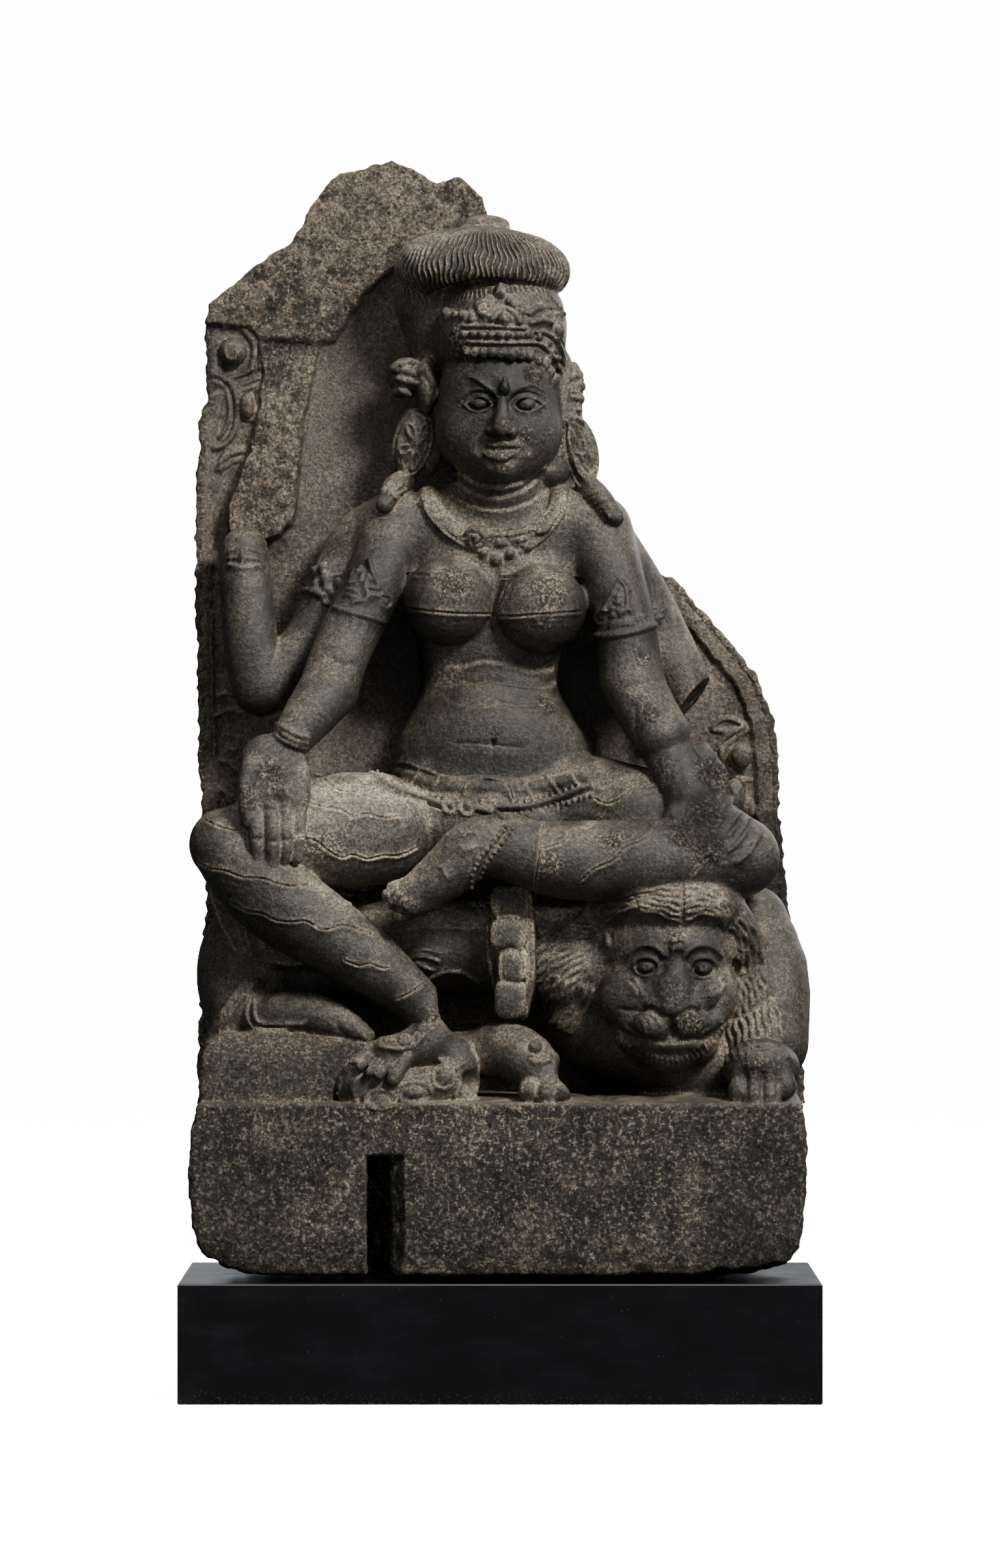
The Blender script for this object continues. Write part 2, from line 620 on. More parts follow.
def lion_front():
    """The lion's chest, the folded foreleg with its paw, and the paw at the right."""
    limb([(80, -12, 231), (130, -16, 207), (187, -30, 185)], [48, 44, 40], soft=6)
    limb([(223, -6, 312), (233, -22, 266), (235, -40, 208)], [36, 43, 40], soft=6)
    limb(
        [(-36, -46, 198), (-11, -62, 201), (11, -76, 201), (29, -86, 191), (41, -94, 178)],
        [21, 24, 25, 23, 18], soft=3
    )
    ball((43, -100, 171), (22, 16, 14), soft=3)
    for place, size in (((27, -106, 168), 11), ((41, -112, 165), 10), ((54, -108, 168), 11)):
        ball(place, (size, 12, 11), soft=1.4)
    ball((231, -88, 187), (34, 28, 26), soft=4)
    ball((230, -98, 192), (22, 20, 16), soft=4)
    for place, size in (
        ((211, -104, 168), 10), ((224, -112, 163), 10), ((238, -112, 163), 10), ((251, -104, 172), 10)
    ):
        ball(place, (size, 11, 13), soft=1.5)
        limb([place, (place[0], place[1] + 2, place[2] + 24)], [7, 5], soft=4)


def lion_head():
    """The lion's broad face with bulging eyes, wide nose and puffed lips under parted hair."""
    ball((149, -56, 257), (60, 50, 62), soft=6)
    ball((152, -69, 296), (58, 38, 36), soft=12)
    ball((112, -80, 249), (24, 22, 26), soft=10)
    ball((187, -80, 251), (22, 22, 24), soft=10)
    ball((148, -74, 209), (44, 28, 24), soft=12)
    for place, size in (
        ((146, -110, 276), (8, 9, 9)), ((166, -110, 276), (8, 9, 9)), ((130, -112, 268), (15, 6, 6)),
        ((177, -110, 265), (14, 6, 6))
    ):
        ball(place, size, soft=6, away=True)
    for place in ((130, -99, 276), (179, -97, 275)):
        ball(place, (9.5, 7, 7), soft=1.5)
    limb(
        [(156, -99, 287), (155, -103, 272), (153, -106, 256), (152, -106, 242)], [7, 11, 16, 17], soft=6,
        flat=0.72
    )
    ball((138, -104, 242), (11, 10, 8), soft=4)
    ball((166, -103, 241), (11, 10, 8), soft=4)
    ball((135, -102, 225), (18, 13, 14), turn=(0, 14, 0))
    ball((168, -102, 226), (19, 13, 13))
    limb([(177, -98, 222), (190, -92, 232), (201, -82, 245)], [8, 9, 6], soft=3)
    limb([(123, -96, 221), (111, -88, 230), (100, -78, 242)], [7, 8, 5], soft=3)
    ball((152, -98, 209), (28, 10, 8), soft=4)
    limb(
        [(107, -68, 212), (128, -76, 197), (157, -78, 193), (179, -76, 206), (197, -70, 227)],
        [5, 6, 6, 6, 5], soft=3
    )
    hair = [
        (80, -54, 313), (97, -74, 327), (125, -89, 333), (157, -95, 333), (186, -89, 332), (205, -74, 320),
        (219, -56, 296)
    ]
    limb(hair, [13, 17, 20, 21, 20, 17, 15], soft=9)
    ball((99, -76, 304), (8, 9, 13), turn=(0, 14, 0))
    ball((211, -66, 289), (9, 9, 14))


def lotus():
    """The open lotus under the resting foot."""
    ball((-89, -94, 171), (54, 26, 20), soft=4)
    ball((-127, -100, 174), (16, 18, 22), soft=3)
    ball((-105, -108, 160), (22, 15, 13), soft=1.5)
    ball((-76, -108, 166), (18, 15, 13), soft=1.5)
    limb([(-66, -80, 210), (-45, -84, 199), (-39, -86, 175)], [18, 20, 22], soft=6)
    ball((-49, -104, 179), (12.5, 9, 12.5), soft=1.4)


def sash():
    """The folded sash that falls from the seat over the lion's back."""
    for place, size in (
        ((10, -88, 333), (19, 7, 15)), ((7, -87, 305), (16, 6, 14.5)), ((11, -86, 277), (13, 6.5, 14.5)),
        ((9, -83, 248), (14, 8, 18))
    ):
        ball(place, size, soft=1.0, change=lambda d, x, y, z, s=size: boxy(x, y, z, s))
    limb([(25, -80, 325), (26, -80, 290), (26, -78, 261), (21, -72, 232)], [6.5, 6, 5.5, 4], soft=1.5)
    limb([(11, -74, 329), (11, -74, 290), (12, -68, 250), (13, -64, 237)], [16, 16, 13, 6])
    limb([(-10, -78, 318), (-11, -78, 290), (-6, -74, 264), (3, -70, 235)], [2.6, 2.4, 2.6, 2.4], soft=1)


def boxy(x, y, z, size):
    """Distances to a cushion, fuller than an ellipsoid."""
    u, v, w = (np.abs(c) / np.float32(s) for c, s in zip((x, y, z), size))
    near = (u**3.2 + v**3.2 + w**3.2) ** np.float32(1 / 3.2)
    return ((near - 1) * np.float32(min(size))).astype(np.float32)


def head():
    """The head under its hair, with full cheeks and chin."""
    ball((-1, -26, 777), (54.5, 51, 62), soft=6)
    ball((-1, -34, 795), (48, 42, 44), soft=10)
    ball((-30, -40, 752), (27, 30, 32), soft=12)
    ball((26, -40, 751), (29, 30, 34), soft=12)
    ball((-1, -46, 727), (30, 26, 18), soft=12)
    ball((-1, -16, 830), (57, 55, 56), soft=4)
    ball((3, -64, 719), (13, 10, 9), soft=7)
    limb([(46, -8, 813), (53, -10, 784), (55, -12, 754), (48, -14, 719)], [18, 20, 18, 16], soft=5)


KNOT = np.array((-16, -4, 898))
KNOT_TURN = (3, 1.5, 0)
KNOT_SIZE = np.array([78, 68, 39])
KNOT_RIM = 890
STRANDS = 80


def comb(x, y, z):
    """The strands' phase round the knot, for places from its middle."""
    turn = np.arctan2(x, -y)
    return STRANDS * (
        turn + 0.016 * np.sin(z / 3.4 + 2.4 * np.sin(turn * 5)) + 0.012 * np.sin(z / 5.3 + turn * 9)
    )


def chignon():
    """The wide knot of combed strands, overhanging the hair at a curved rim, and its topmost tuft."""

    def combed(distance, x, y, z):
        """Flutes round the knot, cut off below by its curved rim."""
        flutes = 1.6 * np.cos(comb(x, y, z)) * ramp(z, 37, 29)
        low = KNOT_RIM - KNOT[2] - 24 * np.clip(np.abs(x - 14) / 78, 0, 1.2) ** 2
        return soft_max(distance - flutes, low - z, 3.0).astype(np.float32)

    limb([(-37, 20, 814), (-49, 14, 846), (-55, 8, 871)], [36, 38, 40], soft=4)
    ball((1, -12, 857), (57, 56, 42), soft=4)
    ball(KNOT, KNOT_SIZE, turn=KNOT_TURN, change=combed)
    ball((-13, 6, 939), (22, 20, 9), soft=5)


def crown_band():
    """The swelling of the hair under the crown."""
    stack(
        [(0, -17, 815, 56, 57), (0, -17, 830, 59, 63), (0, -15, 848, 60, 63), (1, -13, 858, 57, 60)], soft=3
    )


def ears():
    """The ears, their plugs and the hanging discs with their cords."""
    ball((-65, -16, 793), (10, 14, 27), soft=3)
    ball((59, -14, 793), (8, 14, 27), soft=3)
    ball((-82, -2, 803), (20, 10, 17))
    for place in ((-90, -10, 810), (-86, -12, 800), (-87, -11, 789), (-77, -12, 809), (-76, -13, 795)):
        ball(place, (10, 7, 6), soft=1.5, turn=(0, -15, 0))
    ball((66, -4, 792), (9, 12, 24))
    for place in ((68, -12, 803), (70, -13, 793), (69, -12, 782)):
        ball(place, (7, 8, 6), soft=1.5)
    ball((-78, -12, 744), (18.5, 8, 32), soft=1.5, turn=(0, 8, -14))
    ball((72, -10, 736), (17, 8, 32), soft=1.5, turn=(0, -14, 22))
    limb([(-55, -26, 772), (-52, -30, 753), (-55, -22, 735), (-63, -12, 717)], [4.5, 5, 5, 5], soft=1.5)
    limb([(53, -26, 772), (53, -28, 751), (58, -20, 731)], [4.5, 5, 5], soft=1.5)


def braids():
    """The ends of the braids on both shoulders."""
    for path in (
        [(-84, -8, 710), (-95, -22, 703), (-103, -32, 687)],
        [(77, -8, 707), (90, -24, 693), (103, -32, 676)]
    ):
        limb(path, [10, 10, 8], soft=3)


for form in (
    back_slab, block, slot, torso, arms, legs, pleats, lion, lion_rock, lion_front, lion_head, lotus, sash,
    chignon, head, crown_band, ears, braids, hand
):
    form()


def shifted(path, gap):
    """A front-plane path moved sideways."""
    path = smooth_path(path, 6)
    return path + sideways(path) * gap


def hem(path, gap=3.6, radius=1.1, sink=-0.05):
    """Two fine raised lines side by side."""
    line(path, 0.9, sink=0.4, away=True)
    for side in (-0.5, 0.5):
        line(shifted(path, gap * side), radius, sink=sink, soft=0.9)


def lines(paths, radius, **how):
    """The same line along each of several paths."""
    for path in paths:
        line(path, radius, **how)


def bead(place, radius, **how):
    """One bead on the skin."""
    beads([place], 1, radius, **how)


def groove(path, radius=1.2, sink=0.0, soft=1.2):
    """A cut line."""
    line(path, radius, sink=sink, soft=soft, away=True)


def round_path(centre, wide, high, start=0.0, stop=360.0, count=16):
    """Places along an ellipse of the front plane, in degrees from its right end."""
    t = np.radians(np.linspace(start, stop, count + 1))
    return np.column_stack([centre[0] + wide * np.cos(t), centre[1] + high * np.sin(t)])


def curl(centre, radius, turns, thick, start=90.0, sink=0.2):
    """A raised spiral that winds into its centre, clockwise for negative turns."""
    t = np.linspace(0, 1, 26)
    angle = np.radians(start) + 2 * np.pi * turns * t
    reach = radius * (1 - 0.86 * t)
    line(
        np.column_stack([centre[0] + reach * np.cos(angle), centre[1] + reach * np.sin(angle)]), thick,
        sink=sink
    )


def rosette(centre, radius, petals):
    """A round flower: a heart and its petals."""
    bead(centre, radius * 0.36, sink=0.0)
    beads(
        round_path(centre, radius * 0.72, radius * 0.72, count=petals), petals + 1, radius * 0.28, sink=0.25
    )


def face():
    """Sockets, brows, lidded eyes, the worn nose, full lips and chin."""
    for place, size in (
        ((-17, -81, 773), (17, 8, 9)), ((22, -81, 773), (16, 8, 9)), ((-6, -84, 777), (7, 10, 10)),
        ((14, -84, 777), (6, 9, 8))
    ):
        ball(place, size, soft=6, away=True)
    lines(
        (
            [(-28.6, 802.8), (-20.4, 799.8), (-12.2, 794), (-5.2, 789.4), (0, 782.9)],
            [(10.5, 788.2), (15.2, 791.7), (21.6, 794), (29.2, 794.6), (37.3, 790.5)]
        ),
        [1.3, 1.7, 1.9, 1.8, 1.4], sink=-0.2, soft=1.2
    )
    for eye in ((-18.7, 778.6), (23.9, 778)):
        places, _ = stone.touch([eye])
        ball(places[0] + (0, 1.5, 0), (10.5, 4.8, 6.8), soft=1.5, away=True)
        ball(places[0] + (0, 3.9, 0), (8.2, 6.2, 5.6), soft=0.4)
    for upper, lower in (
        (
            [(-31.5, 777.1), (-26.2, 782.9), (-18.7, 785.3), (-11.7, 783.5), (-6.4, 777.7)],
            [(-30.3, 775.9), (-25.1, 771.9), (-18.7, 770.7), (-11.7, 772.4), (-7, 777.1)]
        ),
        (
            [(11.1, 777.1), (16.3, 782.9), (23.9, 785), (31.5, 782.9), (38.5, 777.1)],
            [(12.2, 775.9), (16.9, 771.9), (23.9, 770.4), (31.5, 772.4), (37.9, 776.5)]
        )
    ):
        groove(shifted(upper, 3.6), 1.2, soft=1.0)
        line(shifted(upper, 6.0), 1.1, sink=0.1, soft=1.2)
        line(upper, 1.55, sink=-0.45, soft=0.5)
        line(lower, 1.3, sink=-0.35, soft=0.5)
    for eye in ((-18.7, 778.3), (23.9, 778)):
        line(round_path(eye, 3.3, 3.4, count=14), 0.85, sink=-0.1, soft=0.3)
        bead(eye, 1.5, sink=0.0, soft=0.3)
    limb([(1, -75, 784), (2, -79, 771), (2, -83, 759), (1, -85, 753)], [4.6, 5.6, 7.4, 8.4], soft=3)
    ball((-7, -79, 750), (6.4, 7.5, 5.4))
    ball((11, -79, 750), (6.2, 7.5, 5.4))
    for place in ((-3, -88, 745), (7, -88, 745)):
        ball(place, (2.8, 5, 2.2), soft=1.0, away=True)
    ball((0, -67, 734), (24, 10, 15), soft=8)
    groove([(1.2, 746.8), (1.2, 743.3)], 1.8, soft=2)
    line(
        [
            (-18.7, 742.1), (-11.1, 742.7), (-4.7, 741.8), (0, 742.7), (4.7, 741.5), (11.7, 741),
            (17.5, 739.2)
        ],
        [1.3, 2.7, 3.4, 2.7, 3.3, 2.5, 1.1], sink=0.0, soft=1.0
    )
    line(
        [(-14.6, 735.1), (-8.2, 731.6), (-0.6, 730.5), (7, 731.6), (13.4, 735.1)], [1.4, 3.5, 4.3, 3.6, 1.4]
    )
    groove([(-21, 741), (-11.1, 738), (-1.2, 736.9), (8.2, 737.5), (18.7, 738.3)], 1.5, sink=-0.4)
    groove([(-11.7, 726.4), (-0.6, 724.6), (10.5, 727)], 2.4, soft=4)
    ball((1, -66, 718), (12, 9, 8), soft=6)
    groove([(-8.7, 748.5), (-14.6, 744.5), (-19.8, 737.5)], 2.0, soft=5)
    groove([(19.2, 749.1), (22.7, 743.9), (25.7, 737.5)], 1.6, soft=5)
    bead((3.5, 791.7), 5.4, sink=-0.35, soft=0.5, stretch=(0.95, 1, 1.2))
    bead((4.1, 798.1), 2.8, sink=0.0, soft=0.8, stretch=(0.9, 1, 1.9))
    for arc in (
        [(-39, 709), (-22, 699), (-1, 695), (19, 701), (32, 711)],
        [(-43, 700), (-24, 688), (1, 684), (24, 690), (39, 701)],
        [(-36, 718), (-19, 707), (1, 705), (19, 709)]
    ):
        groove(arc, 1.5, soft=3)
        line(shifted(arc, -2.6), 1.2, sink=0.1, soft=2)


def hair_and_crown():
    """Curls on the brow, the jewelled crown band and the fine combed lines above it."""
    rows = [
        [(-52, 876), (-39, 882), (-19, 886), (3, 887), (22, 884), (38, 879), (50, 869)],
        [(-54, 865), (-39, 865), (-19, 870), (3, 874), (22, 870), (38, 865), (52, 859)]
    ]
    strands(rows, 7, 1.1, sink=-0.2, soft=0.8, away=True)
    for centre, size in (
        ((-29.7, 826.1), 4.4), ((-22.2, 824.9), 5.0), ((-14.6, 824.3), 5.2), ((-7, 824.9), 5.0),
        ((0.6, 824.3), 5.4), ((9.9, 823.2), 6.4), ((19.2, 823.2), 5.4), ((26.8, 822), 4.8),
        ((34.4, 818.5), 4.8), ((39.7, 812.7), 5.0), ((44.3, 806.8), 5.0), ((49, 800.4), 4.6),
        ((42.6, 818.5), 4.2)
    ):
        bead(centre, size, sink=-0.1, soft=0.4, stretch=(1, 1, 1.2))
        line(round_path(centre, size * 0.5, size * 0.55, 200, 500, 8), 1.0, soft=0.4, away=True)
    upper = [(-32, 848), (-13, 848), (5, 847), (23, 846)]
    lower = [(-29, 834), (-4, 833), (19, 833), (30, 833), (38, 831), (45, 824), (51, 816), (55, 804)]
    outer = [(32, 843), (41, 842), (50, 836), (55, 827), (58, 813)]
    for path in (upper, lower, outer):
        line(shifted(path, 2.9), 1.4, sink=0.1, away=True)
        line(shifted(path, -2.9), 1.4, sink=0.1, away=True)
        line(path, 1.6, sink=-0.4, soft=0.7)
    for centre, size in (
        ((-32.1, 841.3), 3.3), ((-24.5, 841), 3.3), ((-16.9, 840.7), 3.4), ((-8.7, 840.1), 3.4),
        ((-0.6, 840.1), 3.6), ((7.6, 840.1), 3.4), ((16.3, 840.1), 3.2), ((24.5, 840.1), 2.8),
        ((35, 837.8), 3.2), ((42, 833.1), 3.2), ((47.2, 826.7), 3.2), ((51.3, 819.1), 3.0),
        ((53.6, 810.9), 2.8), ((-47.2, 859.3), 5.0), ((-39.7, 857.6), 3.8), ((-32.7, 857), 4.8),
        ((-18.1, 868.1), 4.0), ((-9.9, 872.2), 4.4), ((8.7, 870.4), 4.0), ((14, 865.7), 4.2),
        ((19.2, 859.9), 3.8)
    ):
        bead(centre, size, sink=-0.25, soft=0.3)
    line([(-25.7, 863.4), (-25.1, 852.9)], 2.8)
    curl((-14, 861.7), 8.5, start=140, turns=-1.4, thick=2.6, sink=-0.4)
    bead((1.2, 878), 6.6, sink=-0.2, stretch=(0.95, 1, 1.25))
    line(round_path((1.2, 876.8), 3.6, 5.4), 1.1, sink=-0.1, soft=0.5, away=True)
    line([(-7, 854.1), (-3.5, 859.9), (4.1, 862.8), (11.7, 859.9), (17.5, 851.2)], 2.4, sink=-0.4)
    bead((3.5, 854.1), 7.0, sink=-0.1)
    line(round_path((3.5, 854.1), 4.0, 4.0), 1.1, sink=-0.1, soft=0.5, away=True)
    bead((51.9, 843.6), 8.0, sink=0.1, stretch=(0.85, 1, 1.25))
    line(round_path((51.9, 843.6), 4.0, 6.2), 1.2, sink=-0.2, soft=0.5, away=True)
    line([(26.2, 858.7), (34.4, 863.4), (43.7, 863.4)], 3.4, sink=-0.2)
    line([(27.4, 850.6), (36.7, 852.9), (44.9, 850.6)], 3.0, sink=-0.2)
    rosette((51.3, 858.7), 9, 6)


def ear_details():
    """Rims, petals and folds of both ear plugs and hanging discs."""
    ring = (-78.1, 743.9)
    lean = math.radians(-14)
    for wide, high, thick in ((16.4, 30.5, 1.5), (12.4, 25.5, 1.1)):
        oval = round_path((0, 0), wide, high, count=24)
        turned_oval = np.column_stack(
            [
                ring[0] + oval[:, 0] * math.cos(lean) - oval[:, 1] * math.sin(lean),
                ring[1] + oval[:, 0] * math.sin(lean) + oval[:, 1] * math.cos(lean)
            ]
        )
        line(turned_oval, thick, sink=-0.1)
    bead((-75.2, 742.1), 4.6, sink=0.4, stretch=(1, 1, 1.4))
    lines(
        (
            [(-78.1, 737.5), (-84.6, 732.8), (-87.5, 725.8), (-84.6, 720), (-81.6, 727), (-78.7, 735.1)],
            [(-77.6, 735.1), (-79.9, 727), (-79.3, 718.8), (-74.1, 724.6), (-71.7, 732.8), (-74.1, 736.3)],
            [(-81.6, 741), (-87.5, 741), (-90.4, 736.3), (-86.9, 732.8), (-81.1, 736.3)],
            [(-78.7, 746.8), (-83.4, 753.8), (-82.2, 760.8), (-77.6, 758.4), (-75.2, 749.1)],
            [(-72.9, 747.9), (-70.6, 757.3), (-65.3, 759.6), (-65.9, 750.3), (-71.1, 744.5)]
        ),
        1.3, sink=-0.25
    )
    line(
        [(-73.5, 806.8), (-67.6, 808), (-62.4, 803.9), (-58.3, 795.8), (-57.1, 786.4), (-60.1, 779.4)], 1.5,
        sink=0.2
    )
    groove([(-69.4, 802.8), (-65.3, 798.1), (-63, 789.9), (-64.1, 782.9)], 1.6)
    lines(
        (
            [(-88.1, 812.7), (-79.9, 815), (-72.9, 814.4)],
            [(-89.2, 807.4), (-81.1, 807.4), (-73.5, 802.8)],
            [(-91, 800.4), (-82.8, 798.1), (-73.5, 796.3)], [(-89.2, 789.9), (-83.4, 787.6), (-76.4, 786.4)]
        ),
        [2.6, 3.6, 2.2], soft=0.8
    )
    for path, thick in (
        (
            [
                (61.8, 766.6), (60.1, 757.9), (61.8, 743.3), (65.9, 727), (73.5, 713), (81.1, 709.5),
                (85.7, 715.3), (86.3, 728.1), (81.6, 745.6), (75.2, 759.6), (68.2, 766.6)
            ],
            1.6
        ),
        (
            [
                (65.9, 760.8), (74.1, 754.9), (80.5, 743.3), (83.4, 729.3), (84, 718.8), (78.7, 713),
                (73.5, 720)
            ],
            1.1
        ),
        ([(56.6, 763.1), (56, 746.8), (58.9, 729.3), (64.7, 714.1), (71.7, 703.6)], 1.5)
    ):
        line(path, thick, sink=-0.1)
    groove([(58.9, 759.6), (58.9, 743.3), (63, 725.8), (70.6, 709.5)], 2.0, sink=0.4)
    lines(
        (
            [(65.3, 753.8), (68.2, 745.6), (70.6, 737.5)], [(70, 754.9), (74.1, 746.8), (75.8, 737.5)],
            [(67.1, 735.1), (72.9, 732.8), (79.3, 735.1)], [(72.9, 731.6), (75.8, 723.5), (79.9, 717.6)],
            [(77.6, 737.5), (81.1, 729.3), (81.6, 722.3)], [(68.2, 729.3), (71.1, 722.3), (75.8, 715.9)]
        ),
        1.3, sink=-0.25
    )
    line([(56.6, 782.9), (57.1, 792.3), (61.2, 799.3), (65.9, 802.2)], 1.5, sink=0.2)
    groove([(58.9, 780.6), (59.5, 789.9), (63, 796.3), (66.5, 798.1)], 1.3)
    lines(
        (
            [(63.6, 789.4), (70.6, 787.6)], [(64.1, 784.7), (71.7, 782.9)], [(63.6, 773.6), (71.7, 773)],
            [(68.2, 804.5), (73.5, 799.8)]
        ),
        1.8
    )
    for place in ((70, 786.4), (69.4, 779.4), (65.9, 773.6)):
        bead(place, 2.4, away=True)
    for path in (
        [(-102, 705.4), (-95.1, 702.5), (-89.2, 697.8), (-86.9, 690.8)],
        [(81.1, 698.4), (88.1, 692), (93.9, 685), (98.6, 677.4)]
    ):
        for place, nearby in zip(evenly(path, 6, 2), evenly(path, 7, 2)[1:]):
            along = nearby - place
            across = np.array([-along[1], along[0]]) / (np.linalg.norm(along) + TINY)
            line([place - across * 6 - along * 0.4, place + along * 0.2, place + across * 6 + along], 1.7)
    rosette((95.6, 680.9), 7, 6)


def necklace():
    """The broad collar: beads, two smooth ridges, a fringe, its spiral, flower and pendants."""
    inner = [
        (-60.1, 697.8), (-53.1, 683.2), (-42.6, 673.3), (-31.5, 667.5), (-18.7, 665.7), (2.9, 665.1),
        (18.1, 666.3), (28.6, 670.4), (38.5, 676.8), (45.5, 686.7), (47.8, 698.4)
    ]
    outer = [
        (-69.4, 693.1), (-65.3, 680.3), (-54.2, 666.9), (-42.6, 657), (-31.5, 650.6), (-21, 646.5),
        (0.6, 643), (18.1, 646.5), (31.5, 651.1), (42.6, 660.5), (51.9, 671.6), (57.7, 683.2), (59.5, 698.4)
    ]
    count = 24
    inside, outside = evenly(inner, count, 2), evenly(outer, count, 2)
    places, _ = stone.touch((inside + outside) / 2)
    limb(places + (0, 2.0, 0), 9.5, soft=1.2, flat=0.5)
    line(inner, 1.5, sink=-0.5)
    beads(inside * 0.78 + outside * 0.22, 38, 2.1, sink=-0.4, soft=0.3)
    for share in (0.43, 0.64):
        ridge = inside * (1 - share) + outside * share
        for part in (ridge[:10], ridge[17:]):
            line(part, 1.8, sink=-0.5)
    fringe = inside * 0.1 + outside * 0.9
    beads(fringe[:10], 18, 2.5, sink=-0.2, soft=0.3, stretch=(0.8, 1, 1.3))
    beads(fringe[15:], 15, 2.3, sink=-0.3, soft=0.3)
    line(outer, 1.3, sink=0.2)
    bead((-22.2, 656.4), 10.5, sink=0.75, soft=0.8)
    curl((-22.2, 656.4), 9.6, start=150, turns=-1.6, thick=2.0, sink=-0.4)
    bead((0.6, 653.5), 9, sink=0.7, stretch=(1.15, 1, 0.8))
    groove(round_path((0.6, 653.5), 7.0, 4.6), 1.0)
    beads(round_path((0.6, 654.1), 11, 8.4, 20, 200, 8), 8, 1.9, sink=0.2)
    for place in ((22.7, 657), (28, 653.5), (21.6, 651.1), (26.2, 648.8), (16.3, 655.8)):
        bead(place, 3.0, sink=0.2, stretch=(1.2, 1, 0.9))
    line([(34.4, 662.2), (41.4, 665.7), (46.1, 671.6)], [1.6, 3.2, 1.4], sink=0.2)
    for place, size in (((-14.6, 644.2), 4.6), ((-3.5, 638.9), 5.6), ((8.7, 644.2), 4.6)):
        bead(place, size, sink=0.1, stretch=(1, 1, 1.2))


def torso_lines():
    """Edges of the thin breast cloth, the folds of the waist, the navel and its cross lines."""
    for path in (
        [(-83.4, 625.5), (-67.6, 624.9), (-52.5, 626.1)], [(-4.7, 623.2), (8.2, 622.6), (24.5, 624.3)],
        [(45.5, 624.3), (58.9, 623.2), (72.9, 621.4)],
        [(-86.9, 594.6), (-71.7, 594), (-52.5, 591.7), (-32.1, 590.5), (-4.7, 590.5)],
        [(-0.6, 588.2), (14.6, 588.2), (36.2, 589.9), (55.4, 591.1), (75.2, 592.8)]
    ):
        hem(path, gap=4.2, radius=1.1)
    hem([(7, 617.3), (4.7, 610.3), (2.9, 604.5), (0.6, 598.7), (0, 591.7)], gap=3.4, radius=1.1)
    hem([(-37.3, 611.5), (-35.6, 603.9), (-36.2, 595.8)], gap=3.4, radius=0.9, sink=0.4)
    for path, size in (
        ([(-45, 544), (-32, 545), (-23, 547), (-13, 549), (2, 547)], 1.6),
        ([(16, 544), (29, 540), (47, 542)], 2.2),
        ([(-45, 528), (-32, 529), (-23, 528), (-11, 530), (4, 528), (25, 525), (39, 525), (48, 530)], 2.2),
        ([(-47, 515), (-37, 511), (-23, 509), (-3, 510), (18, 508), (40, 508)], 2.0)
    ):
        groove(path, size, soft=3.5)
        line(shifted(path, -3.4), 1.4, sink=0.35, soft=2.5)
    groove([(-6.1, 488.5), (-6.1, 473.9), (-6.1, 458.7)])
    groove([(-39.1, 473.3), (-22.7, 473.9), (-5.8, 472.7), (7.6, 471), (19.8, 471)])
    bead((-6.4, 474.5), 2.9, sink=0.0, soft=1.5, stretch=(0.9, 1.5, 1.3), away=True)
    groove([(23, 552), (36, 550), (49, 556), (55, 560)], 2.0, soft=3)
    groove([(-2.3, 626.7), (-3.5, 609.2), (-4.1, 588.8), (-6.4, 576.5)], 2.2, soft=3)


def girdle():
    """The girdle: a band of plates, slanted beads over a cord, a knot of loops and a lower row of beads."""
    line(
        [
            (-100, 449), (-79, 444), (-59, 438), (-39, 435), (-13, 435), (10, 432), (32, 435), (54, 439),
            (75, 444)
        ],
        7.5, sink=0.55, soft=2.0
    )
    line(
        [
            (-97, 453), (-87, 457), (-73, 453), (-62, 449), (-52, 444), (-39, 442), (-16, 444), (5, 439),
            (19, 440), (34, 443), (47, 446), (67, 448), (78, 450)
        ],
        1.5, sink=-0.3
    )
    for divider in (
        [(-71, 452), (-79, 439)], [(-55, 444), (-60, 434)], [(8, 439), (13, 423)], [(22, 439), (28, 426)],
        [(41, 445), (47, 439), (51, 431)], [(64, 446), (69, 437)],
        [(-33, 428), (-30, 437), (-24, 441), (-13, 443), (0, 440), (6, 434), (10, 423)]
    ):
        groove(shifted(divider, 1.8), 1.0, soft=0.8)
        line(divider, 1.3, sink=-0.3)
    for cord in (
        [(-118, 448), (-99, 436), (-77, 427), (-53, 420)], [(-1, 417), (25, 418), (54, 426), (80, 436)]
    ):
        groove(shifted(cord, 4.2), 1.8, soft=1.2)
        groove(shifted(cord, -4.4), 1.8, soft=1.2)
        line(cord, 3.0, sink=-0.1)
    for row, count in (
        ([(-110, 448), (-92, 438), (-71, 430), (-50, 425)], 13),
        ([(5, 421), (25, 423), (48, 430), (70, 437)], 12),
        ([(8, 408), (25, 412), (40, 416), (61, 421), (82, 428)], 15)
    ):
        beads(row, count, 2.3, sink=-0.25, soft=0.3, stretch=(0.75, 1, 1.25))
    beads([(-86, 424), (-69, 418), (-52, 413)], 15, 1.6, sink=-0.2, soft=0.3)
    for centre, wide, high in (((-44, 419), 6.6, 7.4), ((-29, 418), 7.4, 8.2), ((-8, 422), 9, 5)):
        bead(centre, 6.6, sink=0.5, soft=1.0, stretch=(wide / 6.6, 1, high / 6.6))
        line(round_path(centre, wide, high), 1.7, sink=-0.4)
        groove(round_path(centre, wide - 3, high - 3), 1.4, sink=-0.2)
    line([(-19, 415), (-9, 413), (4, 406)], 3.0, sink=-0.2)


